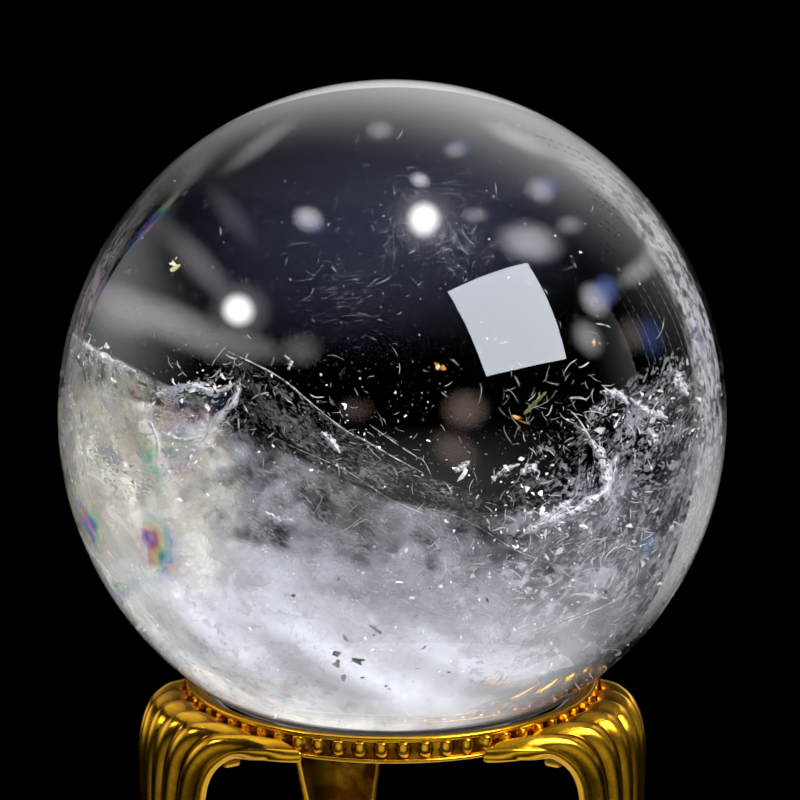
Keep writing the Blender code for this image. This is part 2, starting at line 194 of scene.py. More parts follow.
# Blurred spots: x, y, half length, half width, turn in degrees, depth, strength
SPOTS_PX = {
    "rainbow_spots": ("rainbow fracture film", [
        (152, 462, 38, 15, 75, 0.12, 1.2), (158, 548, 50, 25, 75, 0.12, 1.6),
        (90, 525, 52, 17, 70, 0.1, 1.4), (285, 690, 24, 9, 95, 0.12, 0.5), (135, 392, 16, 4, 80, 0.15, 0.8),
        (122, 588, 24, 16, 0, 0.1, 0.9), (648, 545, 24, 8, 110, 0.3, 0.5),
        # These two paint the rainbow fringe that refraction draws along the left rim
        (152, 222, 62, 5, -48, 0.1, 0.45), (96, 300, 34, 5, -65, 0.1, 0.4)]),
    # Painted reflections: blurred streaks of lamp light at the upper left
    "painted_reflection_streaks": ("quartz haze", [
        (170, 322, 105, 28, 24, 0.3, 0.6), (118, 310, 55, 32, 30, 0.3, 0.5),
        (195, 260, 72, 22, 47, 0.3, 0.24), (232, 215, 50, 18, 52, 0.3, 0.1),
        (250, 345, 44, 20, 20, 0.3, 0.22), (640, 270, 34, 16, -35, 0.3, 0.3),
        (655, 245, 26, 12, -40, 0.3, 0.22), (590, 175, 60, 14, 42, 0.3, 0.3),
        (520, 140, 55, 12, 24, 0.3, 0.3), (260, 145, 60, 12, -36, 0.3, 0.3),
        (190, 175, 50, 12, -45, 0.3, 0.2)]),
    # Painted glows: out-of-focus lamps, halos round the two glints and a faint grey glow over the top
    "painted_glow_spots": ("quartz haze", [
        (308, 219, 20, 16, 20, 0.3, 0.8), (420, 180, 13, 10, 20, 0.3, 0.75),
        (530, 242, 42, 26, 10, 0.3, 0.45), (595, 300, 24, 18, 60, 0.3, 0.5),
        (588, 338, 26, 18, 60, 0.3, 0.3), (380, 130, 18, 13, 0, 0.25, 0.3),
        (540, 190, 20, 16, 30, 0.25, 0.35), (300, 350, 28, 22, 0, 0.3, 0.16),
        (475, 215, 18, 11, 0, 0.25, 0.24), (455, 150, 15, 11, 0, 0.25, 0.28),
        (570, 225, 18, 13, 0, 0.25, 0.24), (240, 310, 38, 36, 0, 0.02, 0.3),
        (424, 219, 38, 36, 0, 0.02, 0.25), (370, 225, 290, 150, -8, 0.19, 0.03)]),
    # Painted glows: a blue tint on some of those glows and over the top, and a colour fringe on the right rim
    "painted_blue_glows": ("quartz blue haze", [
        (606, 291, 18, 21, 0, 0.29, 0.5), (650, 337, 18, 28, -15, 0.3, 0.2),
        (548, 186, 18, 15, 0, 0.24, 0.2), (314, 226, 18, 13, 20, 0.29, 0.2),
        (462, 146, 16, 13, 0, 0.24, 0.18), (700, 340, 40, 4, 78, 0.06, 0.4),
        (370, 225, 290, 150, -8, 0.2, 0.06)]),
    # The first two paint a blurred glow and a colour fringe on the right rim; the other three are soft brown
    # spots
    "brown_spots": ("quartz brown haze", [
        (632, 334, 18, 26, -15, 0.3, 0.2), (702, 350, 40, 3, 80, 0.05, 0.4),
        (465, 410, 30, 26, 0, 0.6, 0.34), (455, 450, 34, 22, 30, 0.6, 0.26),
        (355, 410, 24, 17, 0, 0.6, 0.15)]),
}

# Ribbons: picture curve, width, depth
RIBBONS_PX = {
    "feathers": ("quartz feather", [
        ([(590, 440), (602, 458), (607, 480), (604, 498)], 13, 0.3),
        ([(618, 452), (612, 475), (606, 500)], 8, 0.3),
        ([(610, 488), (580, 508), (545, 522), (524, 534)], 13, 0.3),
        ([(540, 522), (560, 508), (572, 500)], 9, 0.28), ([(600, 392), (618, 394), (628, 404)], 9, 0.35),
        ([(630, 398), (648, 412), (668, 418)], 8, 0.35), ([(648, 428), (655, 440), (650, 446)], 9, 0.35),
        ([(676, 370), (680, 384), (688, 396)], 10, 0.25), ([(684, 372), (676, 380), (672, 392)], 6, 0.25),
        ([(520, 474), (532, 468), (538, 482)], 10, 0.3), ([(492, 480), (505, 470), (520, 464)], 5, 0.3),
        ([(455, 472), (462, 467), (470, 461)], 7, 0.25), ([(321, 432), (330, 440), (340, 453)], 8, 0.22),
        ([(284, 355), (291, 362), (288, 370)], 5, 0.3),
        ([(165, 392), (190, 386), (215, 392), (238, 382)], 8, 0.25),
        ([(240, 378), (234, 400), (214, 424), (204, 442)], 9, 0.25),
        ([(160, 432), (182, 440), (204, 436)], 5, 0.25), ([(144, 412), (152, 400), (168, 388)], 6, 0.25),
        ([(200, 440), (192, 452), (186, 470)], 6, 0.25), ([(150, 420), (158, 445), (156, 470)], 5, 0.25),
        ([(265, 512), (280, 522), (294, 520)], 8, 0.3),
        ([(66, 330), (84, 346), (112, 362), (136, 372)], 9, 0.3)]),
    "crack_lines": ("quartz crack edge", [
        ([(227, 351), (255, 364), (282, 379), (305, 398), (323, 413)], 2.0, 0.2),
        ([(323, 413), (345, 430), (369, 443), (395, 458), (423, 473)], 2.0, 0.2),
        ([(262, 432), (300, 450), (345, 470), (392, 500), (440, 520)], 0.8, 0.25),
        ([(430, 508), (470, 522), (520, 552), (580, 572)], 0.7, 0.25),
        ([(370, 425), (400, 446), (425, 462)], 1.3, 0.2), ([(540, 632), (600, 608), (640, 586)], 1.0, 0.2),
        ([(505, 640), (540, 628), (585, 612)], 0.9, 0.2)]),
}
GREEN_THREAD_PX = [([(524, 414), (534, 404), (546, 392)], 4, 0.31)]

# Hair-fine flaws: count, x, y, spread across, spread down, heading and its spread in degrees, length, bend as
# a share of the length, width, nearest depth, farthest depth
STROKES_PX = {
    "scratches": ("polish scratch", [
        (150, 400, 240, 140, 75, 0, 90, 5, 0.8, 0.5, 0.02, 0.2),
        (70, 335, 305, 22, 17, -14, 8, 9, 0.2, 0.3, 0.004, 0.006),
        (50, 352, 282, 18, 9, -10, 8, 9, 0.2, 0.3, 0.004, 0.006),
        (90, 440, 252, 26, 10, -28, 26, 11, 0.4, 0.3, 0.004, 0.006),
        (60, 458, 228, 9, 18, 70, 24, 11, 0.4, 0.3, 0.004, 0.006),
        (36, 396, 228, 7, 18, 110, 24, 11, 0.4, 0.3, 0.004, 0.006),
        (44, 440, 190, 26, 7, 20, 24, 10, 0.4, 0.3, 0.004, 0.006)]),
    "threads": ("quartz thread", [
        (50, 575, 420, 34, 28, 120, 60, 12, 0.7, 0.34, 0.2, 0.4),
        (16, 530, 405, 24, 20, 60, 50, 12, 0.8, 0.3, 0.2, 0.4),
        (160, 420, 580, 130, 60, -30, 50, 11, 0.5, 0.6, 0.15, 0.5),
        (160, 560, 560, 70, 40, -40, 60, 11, 0.6, 0.7, 0.15, 0.5),
        (110, 330, 450, 50, 30, 30, 30, 7, 0.3, 0.4, 0.2, 0.3),
        (80, 220, 400, 50, 30, 20, 60, 8, 0.8, 0.6, 0.2, 0.4),
        (40, 450, 660, 80, 20, -20, 40, 16, 0.3, 0.6, 0.1, 0.3),
        (16, 350, 370, 60, 30, 35, 40, 7, 0.4, 0.5, 0.1, 0.3),
        (90, 620, 420, 40, 26, 0, 80, 8, 0.8, 0.6, 0.2, 0.4)]),
}

# Flakes: clusters of x, y, spread across, spread down, nearest depth, farthest depth, count and size in mm;
# then, where it isn't the usual, how slim a flake is and how many points it has along and across
FLAKES_PX = {
    "flakes_bright": ("quartz bright flake", [
        (655, 415, 26, 16, 0.2, 0.6, 60, 0.14), (600, 460, 30, 26, 0.2, 0.6, 80, 0.13),
        (684, 382, 8, 8, 0.15, 0.3, 10, 0.2), (550, 515, 26, 14, 0.2, 0.5, 50, 0.13),
        (205, 386, 26, 6, 0.2, 0.35, 40, 0.2), (180, 440, 34, 34, 0.2, 0.5, 60, 0.17),
        (90, 350, 12, 10, 0.2, 0.4, 30, 0.17), (500, 490, 30, 12, 0.2, 0.4, 30, 0.18),
        (400, 620, 120, 50, 0.15, 0.5, 220, 0.11), (560, 570, 60, 36, 0.15, 0.5, 260, 0.11),
        (340, 450, 60, 30, 0.2, 0.4, 120, 0.08), (700, 470, 10, 50, 0.2, 0.6, 60, 0.13)]),
    "flakes_shadowed": ("quartz shadowed flake", [
        (352, 662, 9, 6, 0.12, 0.2, 12, 0.3), (375, 628, 20, 6, 0.12, 0.2, 9, 0.2),
        (420, 672, 20, 8, 0.12, 0.2, 8, 0.2), (480, 600, 90, 50, 0.2, 0.6, 50, 0.13)]),
    "dust": ("quartz bright flake", [
        (392, 250, 150, 85, 0.03, 0.3, 900, 0.03), (392, 560, 190, 110, 0.1, 0.9, 900, 0.05)], 0.7, (3, 2)),
    "flecks_amber": ("amber fleck", [
        (518, 421, 3, 3, 0.3, 0.34, 5, 0.26), (438, 366, 2, 2, 0.3, 0.33, 4, 0.2),
        (600, 343, 3, 2, 0.3, 0.4, 3, 0.16)], 0.8),
    "flecks_pale": ("pale gold fleck", [
        (176, 267, 2.5, 4, 0.3, 0.32, 4, 0.2), (438, 367, 2, 1, 0.28, 0.3, 2, 0.16)], 0.9),
}

# Lamps whose glints show at picture points, at a distance from the ball
KEY_SPOT_PX = (511, 319)
KEY_DISTANCE, KEY_SIZE, KEY_RADIANCE = 0.40, 0.222, 13.0
KEY_COLOUR = "#F0F6FF"
ROUND_LAMPS_PX = {"lamp_top": (424, 219), "lamp_left": (238, 310)}
ROUND_LAMP_DISTANCE, ROUND_LAMP_HALF, ROUND_LAMP_RADIANCE = 0.45, 0.045, 30.0
# Panels of light: azimuth and elevation in degrees, distance, width and height in degrees, brightness, and
# whether the stone shows them
PANELS = {
    "panel_back": (158, 42, 0.5, 140, 80, 1.75, True),
    "panel_left": (-108, 15, 0.5, 84, 44, 1.2, True),
    "panel_right": (112, 15, 0.5, 84, 44, 1.4, True),
    "panel_front": (0, -14, 0.7, 130, 44, 0.8, False),
}

# Profiles that close at the axis stop this far from it
AXIS_GAP = 0.01 * MM


def linear(code):
    """Linear RGB of an sRGB hex colour."""
    values = np.array([int(code[k:k + 2], 16) for k in (1, 3, 5)]) / 255
    return tuple(np.where(values <= 0.04045, values / 12.92, ((values + 0.055) / 1.055) ** 2.4))


class BallSettings(bpy.types.PropertyGroup):
    """Sizes and colours of the stone and its flaws."""
    segments: bpy.props.IntProperty(name="Segments", description="Facets round the ball", default=400, min=32)
    tint: bpy.props.FloatVectorProperty(name="Tint", description="Colour of the clear stone",
                                        subtype="COLOR", default=linear("#FBFCFD"))
    veil: bpy.props.FloatVectorProperty(name="Veil", description="Colour of the milky veils",
                                        subtype="COLOR", default=linear("#EFEEF4"))
    flake: bpy.props.FloatVectorProperty(name="Flake", description="Colour of the bright flakes",
                                         subtype="COLOR", default=linear("#F7F4EC"))
    seed: bpy.props.IntProperty(name="Seed", description="Arrangement of the scattered flaws", default=7)


class StandSettings(bpy.types.PropertyGroup):
    """Sizes and colours of the gilt stand."""
    gold: bpy.props.FloatVectorProperty(name="Gold", description="Colour of the gold plate",
                                        subtype="COLOR", default=linear("#F6B928"))
    # Painted shade: the colour the gold turns to in its recesses
    painted_recess_shade: bpy.props.FloatVectorProperty(name="Painted recess shade", description="Colour of the shade painted into the recesses",
                                           subtype="COLOR", default=linear("#6A3E06"))
    felt: bpy.props.FloatVectorProperty(name="Felt", description="Colour of pads and liner",
                                        subtype="COLOR", default=linear("#26262A"))
    tongues: bpy.props.IntProperty(name="Tongues", description="Tongues round the gallery strip", default=64)
    tongue_relief: bpy.props.FloatProperty(name="Tongue relief", description="How far a tongue stands out",
                                           unit="LENGTH", default=0.45 * MM)
    reeds: bpy.props.IntProperty(name="Reeds", description="Reeds across a leg", default=6)
    reed_relief: bpy.props.FloatProperty(name="Reed relief", description="Height of a reed",
                                         unit="LENGTH", default=0.6 * MM)
    leg_thickness: bpy.props.FloatProperty(name="Leg thickness", description="Wall of the cast leg",
                                           unit="LENGTH", default=1.2 * MM)


class StageSettings(bpy.types.PropertyGroup):
    """Floor of the stage."""
    floor: bpy.props.FloatVectorProperty(name="Floor", description="Colour of the floor",
                                         subtype="COLOR", default=linear("#E4E2DE"))
    floor_radius: bpy.props.FloatProperty(name="Floor radius", description="Radius of the round floor",
                                          unit="LENGTH", default=48 * MM)


def add_node(tree, kind, settings=None, stops=(), **inputs):
    """Add one node, set its properties and a ramp's (position, colour) stops, and link or set its inputs by
    name, or by number as i0 or i1."""
    made = tree.nodes.new(kind)
    for name, value in (settings or {}).items():
        setattr(made, name, value)
    if stops:
        elements = made.color_ramp.elements
        while len(elements) < len(stops):
            elements.new(0.5)
        for element, (place, colour) in zip(elements, stops):
            element.position = place
            element.color = (*colour, 1.0)
    for name, value in inputs.items():
        numbered = name[0] == "i" and name[1:].isdigit()
        socket = made.inputs[int(name[1:]) if numbered else name.replace("_", " ")]
        if isinstance(value, bpy.types.NodeSocket):
            tree.links.new(value, socket)
        else:
            socket.default_value = value
    return made


def new_material(name):
    """Empty node material and its tree."""
    made = bpy.data.materials.new(name)
    made.use_nodes = True
    made.node_tree.nodes.clear()
    return made, made.node_tree


def finished(material, shader):
    """The material, with a shader on its surface."""
    add_node(material.node_tree, "ShaderNodeOutputMaterial", Surface=shader.outputs[0])
    return material


def link_mesh(name, points, faces, finish, smooth=True):
    """Object in the scene, of point and face arrays and one finish."""
    mesh = bpy.data.meshes.new(name)
    mesh.from_pydata(points.reshape(-1, 3).tolist(), [], [list(face) for face in faces])
    mesh.validate()
    if smooth:
        mesh.shade_smooth()
    mesh.materials.append(finish)
    made = bpy.data.objects.new(name, mesh)
    bpy.context.scene.collection.objects.link(made)
    return made


def set_values(piece, name, values):
    """Store a value for each vertex under a name that the finishes read."""
    stored = piece.data.attributes.new(name, "FLOAT", "POINT")
    stored.data.foreach_set("value", values.astype(np.float32).ravel())


def make_piece(name, points, faces, finish, body, slot, recess=None):
    """Smooth mesh piece that rides on a body."""
    piece = link_mesh(name, points, faces, finish)
    if recess is not None:
        set_values(piece, "recess", recess)
    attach(piece, body)
    return piece


def joined(parts):
    """Point and quad arrays of several closed forms as one pair, each with its faces turned outwards."""
    points, faces, count = [], [], 0
    for part_points, part_faces in parts:
        flat = part_points.reshape(-1, 3)
        a, b, c, d = (flat[part_faces[:, k]] - flat.mean(axis=0) for k in range(4))
        volume = np.sum(np.cross(a, b) * c) + np.sum(np.cross(a, c) * d)
        points.append(flat)
        faces.append((part_faces if volume > 0 else part_faces[:, ::-1]) + count)
        count += len(flat)
    return np.concatenate(points), np.concatenate(faces)


def grid_faces(rows, columns, close_rows=False, close_columns=False):
    """Quads of a rows x columns grid, wrapped in either direction if asked."""
    r = np.arange(rows if close_rows else rows - 1)[:, None]
    c = np.arange(columns if close_columns else columns - 1)[None, :]
    r_next = (r + 1) % rows
    c_next = (c + 1) % columns
    quads = [r * columns + c, r * columns + c_next, r_next * columns + c_next, r_next * columns + c]
    return np.stack([q + 0 * (r + c) for q in quads], axis=-1).reshape(-1, 4)


def many_faces(count, rows, columns):
    """Quads of several grids of one size whose points follow each other."""
    first = rows * columns * np.arange(count)[:, None, None]
    return (grid_faces(rows, columns)[None] + first).reshape(-1, 4)


def capped_faces(rows, columns):
    """Quads of a tube of rows loops, with quads from one side of the loop to the other closing both ends."""
    skin = grid_faces(rows, columns, close_columns=True)
    k = np.arange(columns // 2 - 1)
    cap = np.stack([k, k + 1, columns - 2 - k, columns - 1 - k], axis=-1)
    return np.concatenate([skin, cap[:, ::-1], cap + (rows - 1) * columns])


def turned(profile, segments):
    """Points of a profile of (radius, height) rows carried round +Z: (r cos a, r sin a, z)."""
    profile = np.asarray(profile, float)
    angle = np.linspace(0, 2 * math.pi, segments, endpoint=False)[:, None]
    r, z = profile[:, 0][None, :], profile[:, 1][None, :]
    return np.stack([r * np.cos(angle), r * np.sin(angle), z + 0 * angle], axis=-1)


def smooth_line(points, count):
    """Smooth curve through a few points (Catmull-Rom), sampled at even steps."""
    points = np.asarray(points, float)
    padded = np.vstack([2 * points[0] - points[1], points, 2 * points[-1] - points[-2]])
    steps = np.linspace(0, len(points) - 1, count)
    first = np.minimum(steps.astype(int), len(points) - 2)
    t = (steps - first)[:, None]
    p0, p1, p2, p3 = (padded[first + k] for k in range(4))
    bend = (2 * p0 - 5 * p1 + 4 * p2 - p3) * t ** 2 + (3 * p1 - p0 - 3 * p2 + p3) * t ** 3
    return 0.5 * (2 * p1 + (p2 - p0) * t + bend)


def rounded(profile, radius, steps=4):
    """Closed profile with each corner cut by an arc-like curve of about the given radius."""
    profile = np.asarray(profile, float)
    before, after = np.roll(profile, 1, axis=0), np.roll(profile, -1, axis=0)
    to_before, to_after = before - profile, after - profile
    reach_b = np.linalg.norm(to_before, axis=1, keepdims=True)
    reach_a = np.linalg.norm(to_after, axis=1, keepdims=True)
    start = profile + to_before / reach_b * np.minimum(radius, 0.45 * reach_b)
    end = profile + to_after / reach_a * np.minimum(radius, 0.45 * reach_a)
    t = np.linspace(0, 1, steps)[None, :, None]
    curve = (1 - t) ** 2 * start[:, None] + 2 * t * (1 - t) * profile[:, None] + t ** 2 * end[:, None]
    return curve.reshape(-1, 2)


def rounded_block(low, high, corner, steps=5):
    """Block with soft edges: a rounded rectangle in x and z, drawn in by quarter circles at both y ends."""
    low, high = np.array(low), np.array(high)
    middle, half = 0.5 * (low + high), 0.5 * (high - low)
    loop = rounded(np.array([(-1, -1), (1, -1), (1, 1), (-1, 1)]) * half[[0, 2]], corner)
    turn = np.linspace(0, 0.5 * math.pi, steps)
    drawn = corner * (1 - np.cos(turn))
    y = np.concatenate([drawn - half[1], half[1] - drawn[::-1]])
    inset = corner * (1 - np.sin(np.concatenate([turn, turn[::-1]])))[:, None]
    x, z = (loop[:, k][None, :] * (1 - inset / half[2 * k]) for k in (0, 1))
    return np.stack([x, y[:, None] + 0 * x, z], axis=-1) + middle, capped_faces(2 * steps, len(loop))


def turned_ring(profile, corner, segments):
    """Closed profile with soft corners carried round +Z."""
    points = turned(rounded(profile, corner), segments)
    return points, grid_faces(*points.shape[:2], close_rows=True, close_columns=True)


def turn_about_z(points, degrees):
    """Points turned about +Z."""
    a = math.radians(degrees)
    spin = np.array([(math.cos(a), -math.sin(a), 0), (math.sin(a), math.cos(a), 0), (0, 0, 1)])
    return points @ spin.T


def sight_lines(px, py):
    """Unit directions from the camera through picture points."""
    right, up = (px - BALL_CENTRE_PX[0])[..., None], (BALL_CENTRE_PX[1] - py)[..., None]
    aim = FOCAL_PX * VIEW_FORWARD + right * VIEW_RIGHT + up * VIEW_UP
    return aim / np.linalg.norm(aim, axis=-1, keepdims=True)


def entry_points(px, py):
    """Where sight lines meet the ball, and those lines. Points off the ball are drawn in to its edge."""
    off_x, off_y = px - BALL_CENTRE_PX[0], py - BALL_CENTRE_PX[1]
    reach = np.hypot(off_x, off_y)
    keep = np.minimum(1.0, SKIN_SHARE * BALL_RADIUS_PX / np.maximum(reach, 1e-6))
    line = sight_lines(BALL_CENTRE_PX[0] + off_x * keep, BALL_CENTRE_PX[1] + off_y * keep)
    along = line @ (BALL_CENTRE - CAMERA_PLACE)
    inside = np.maximum(BALL_RADIUS ** 2 - CAMERA_DISTANCE ** 2 + along ** 2, 0.0)
    return CAMERA_PLACE + line * (along - np.sqrt(inside))[..., None], line


def inside_points(px, py, depth):
    """Points inside the stone that show at picture points: sight lines, refracted at the skin, followed for a
    share of their chords."""
    px, py, depth = np.broadcast_arrays(*(np.asarray(values, float) for values in (px, py, depth)))
    point, line = entry_points(px, py)
    normal = (point - BALL_CENTRE) / BALL_RADIUS
    cosine = -np.sum(line * normal, axis=-1, keepdims=True)
    ratio = 1 / QUARTZ_IOR
    bent = ratio * line + (ratio * cosine - np.sqrt(1 - ratio ** 2 * (1 - cosine ** 2))) * normal
    chord = -2 * BALL_RADIUS * np.sum(bent * normal, axis=-1, keepdims=True)
    return point + bent * chord * depth[..., None]


def lamp_place(px, py):
    """Point of the ball where a glint shows in the picture, direction of its lamp, and the ball's normal."""
    point, line = entry_points(np.array(float(px)), np.array(float(py)))
    normal = (point - BALL_CENTRE) / BALL_RADIUS
    return point, line - 2 * np.dot(line, normal) * normal, normal


def rock_crystal():
    """Rock crystal, cut round and polished: clear, faintly uneven from the lap. Lamps shine into it."""
    settings = bpy.context.scene.crystal_ball
    made, tree = new_material("rock crystal polished")
    place = add_node(tree, "ShaderNodeTexCoord").outputs["Object"]
    lap = add_node(tree, "ShaderNodeTexNoise", Vector=place, Scale=1 / (9 * MM), Detail=2.0)
    bump = add_node(tree, "ShaderNodeBump", Strength=0.015, Distance=0.1 * MM, Height=lap.outputs["Fac"])
    stone = add_node(tree, "ShaderNodeBsdfPrincipled", Base_Color=(*settings.tint, 1), Roughness=0.0,
                     IOR=QUARTZ_IOR, Normal=bump.outputs["Normal"], Transmission_Weight=1.0)
    clear = add_node(tree, "ShaderNodeBsdfTransparent")
    ray = add_node(tree, "ShaderNodeLightPath")
    mix = add_node(tree, "ShaderNodeMixShader", i0=ray.outputs["Is Shadow Ray"],
                   i1=stone.outputs[0], i2=clear.outputs[0])
    return finished(made, mix)


def veil_finish(name, colour, patch_mm, grain_mm, low, high, most):
    """Healed fracture in quartz: a sheet of tiny bubbles, milky in patches and clear between them. The same
    sheet also carries the painted glows and the painted grey reflection.
    """
    made, tree = new_material(name)
    place = add_node(tree, "ShaderNodeTexCoord").outputs["Object"]
    patches = add_node(tree, "ShaderNodeTexNoise", Vector=place, Scale=1 / (patch_mm * MM), Detail=5.0,
                       Roughness=0.6)
    grain = add_node(tree, "ShaderNodeTexNoise", Vector=place, Scale=1 / (grain_mm * MM), Detail=3.0)
    both = add_node(tree, "ShaderNodeMath", {"operation": "MULTIPLY"},
                    i0=patches.outputs["Fac"], i1=grain.outputs["Fac"])
    dense = add_node(tree, "ShaderNodeMapRange", {"interpolation_type": "SMOOTHSTEP"}, Value=both.outputs[0],
                     From_Min=low, From_Max=high, To_Max=most)
    along = add_node(tree, "ShaderNodeAttribute", {"attribute_name": "fade"})
    alpha = add_node(tree, "ShaderNodeMath", {"operation": "MULTIPLY"},
                     i0=dense.outputs[0], i1=along.outputs["Fac"])
    sheet = add_node(tree, "ShaderNodeBsdfPrincipled", Base_Color=(*colour, 1), Roughness=0.55,
                     Alpha=alpha.outputs[0])
    return finished(made, sheet)


def film_finish():
    """Open fracture in quartz: an air film that shows bands of rainbow colour."""
    made, tree = new_material("rainbow fracture film")
    place = add_node(tree, "ShaderNodeTexCoord").outputs["Object"]
    swirl = add_node(tree, "ShaderNodeTexNoise", Vector=place, Scale=1 / (4.5 * MM), Detail=2.0)
    bands = add_node(tree, "ShaderNodeMath", {"operation": "MULTIPLY"}, i0=swirl.outputs["Fac"], i1=3.4)
    phase = add_node(tree, "ShaderNodeMath", {"operation": "FRACT"}, i0=bands.outputs[0])
    rainbow = [(0.0, "#F6E9C8"), (0.2, "#F4D06A"), (0.38, "#E56AA4"), (0.53, "#7A5FE0"), (0.68, "#46A6E8"),
               (0.83, "#7FDC98"), (1.0, "#F6E9C8")]
    colour = add_node(tree, "ShaderNodeValToRGB", stops=[(stop, linear(code)) for stop, code in rainbow],
                      Fac=phase.outputs[0])
    along = add_node(tree, "ShaderNodeAttribute", {"attribute_name": "fade"})
    grain = add_node(tree, "ShaderNodeTexNoise", Vector=place, Scale=1 / (1.6 * MM), Detail=4.0)
    dense = add_node(tree, "ShaderNodeMapRange", Value=grain.outputs["Fac"],
                     From_Min=0.3, From_Max=0.75, To_Min=0.3, To_Max=0.9)
    alpha = add_node(tree, "ShaderNodeMath", {"operation": "MULTIPLY"},
                     i0=dense.outputs[0], i1=along.outputs["Fac"])
    film = add_node(tree, "ShaderNodeBsdfPrincipled", Base_Color=colour.outputs[0], Roughness=0.2,
                    Alpha=alpha.outputs[0])
    return finished(made, film)


def chip_finish(name, light, dark, roughness):
    """Broken quartz chip: glassy facets that catch the light, paler and darker from chip to chip."""
    made, tree = new_material(name)
    place = add_node(tree, "ShaderNodeTexCoord").outputs["Object"]
    noise = add_node(tree, "ShaderNodeTexNoise", Vector=place, Scale=1 / (1.1 * MM), Detail=1.0)
    colour = add_node(tree, "ShaderNodeValToRGB", stops=[(0.3, dark), (0.62, light)],
                      Fac=noise.outputs["Fac"])
    chip = add_node(tree, "ShaderNodeBsdfPrincipled", Base_Color=colour.outputs[0], Roughness=roughness)
    return finished(made, chip)


def gilt_brass():
    """Cast brass, polished and gold plated: bright on the ridges, with painted shade that makes it duller and
    browner in the recesses. The ring and the legs share it, so it is made once."""
    name = "gilt cast brass"
    if name in bpy.data.materials:
        return bpy.data.materials[name]
    settings = bpy.context.scene.crystal_stand
    made, tree = new_material(name)
    place = add_node(tree, "ShaderNodeTexCoord").outputs["Object"]
    recess = add_node(tree, "ShaderNodeAttribute", {"attribute_name": "recess"})
    cloud = add_node(tree, "ShaderNodeTexNoise", Vector=place, Scale=1 / (2.5 * MM), Detail=4.0)
    skin = add_node(tree, "ShaderNodeTexNoise", Vector=place, Scale=1 / (0.45 * MM), Detail=3.0)
    # Painted shade: how deep a point lies, broken up by a cloud, darkens the gold towards the recess shade
    # colour
    painted_shade = add_node(tree, "ShaderNodeMath", {"operation": "MULTIPLY"},
                     i0=recess.outputs["Fac"], i1=cloud.outputs["Fac"])
    colour = add_node(tree, "ShaderNodeValToRGB", stops=[(0.12, settings.gold), (0.55, settings.painted_recess_shade)],
                      Fac=painted_shade.outputs[0])
    rough = add_node(tree, "ShaderNodeMapRange", Value=cloud.outputs["Fac"], To_Min=0.15, To_Max=0.33)
    bump = add_node(tree, "ShaderNodeBump", Strength=0.25, Distance=0.05 * MM, Height=skin.outputs["Fac"])
    metal = add_node(tree, "ShaderNodeBsdfPrincipled", Base_Color=colour.outputs[0], Metallic=1.0,
                     Roughness=rough.outputs[0], Normal=bump.outputs["Normal"])
    return finished(made, metal)


def felt_finish():
    """Pressed wool felt: dull, with short matted fibres."""
    felt = np.array(bpy.context.scene.crystal_stand.felt)
    made, tree = new_material("pressed wool felt")
    place = add_node(tree, "ShaderNodeTexCoord").outputs["Object"]
    fibre = add_node(tree, "ShaderNodeTexNoise", Vector=place, Scale=1 / (0.3 * MM), Detail=6.0)
    shade = add_node(tree, "ShaderNodeValToRGB", stops=[(0.3, 0.5 * felt), (0.7, felt)],
                     Fac=fibre.outputs["Fac"])
    bump = add_node(tree, "ShaderNodeBump", Strength=0.8, Distance=0.1 * MM, Height=fibre.outputs["Fac"])
    wool = add_node(tree, "ShaderNodeBsdfPrincipled", Base_Color=shade.outputs[0], Roughness=0.95,
                    Normal=bump.outputs["Normal"], Sheen_Weight=0.3)
    return finished(made, wool)


def steel_finish():
    """Turned steel screw: fine marks from the lathe."""
    made, tree = new_material("turned steel")
    place = add_node(tree, "ShaderNodeTexCoord").outputs["Object"]
    marks = add_node(tree, "ShaderNodeTexNoise", Vector=place, Scale=1 / (0.2 * MM), Detail=2.0)
    stops = [(0.3, linear("#8C8D90")), (0.7, linear("#B9BABD"))]
    colour = add_node(tree, "ShaderNodeValToRGB", stops=stops, Fac=marks.outputs["Fac"])
    steel = add_node(tree, "ShaderNodeBsdfPrincipled", Base_Color=colour.outputs[0], Metallic=1.0,
                     Roughness=0.3)
    return finished(made, steel)


def floor_finish():
    """Matt painted board."""
    made, tree = new_material("pale painted board")
    colour = (*bpy.context.scene.crystal_stage.floor, 1)
    return finished(made, add_node(tree, "ShaderNodeBsdfPrincipled", Base_Color=colour, Roughness=0.7))


def flaw(name, finish, picture, depth, fade):
    """Sheets in the stone, drawn where the picture shows them: picture points (n, rows, columns, 2), each at
    a share of its sight line's way through the ball. Clear between their bubbles, they cast no shadow, and
    the ball's far side doesn't mirror them."""
    points = inside_points(picture[..., 0], picture[..., 1], np.clip(depth, NEAREST, FARTHEST))
    piece = make_piece(name, points, many_faces(*picture.shape[:3]), finish, "ball", "rock_crystal")
    set_values(piece, "fade", np.broadcast_to(fade, picture.shape[:3]))
    piece.visible_shadow = False
    piece.visible_glossy = False


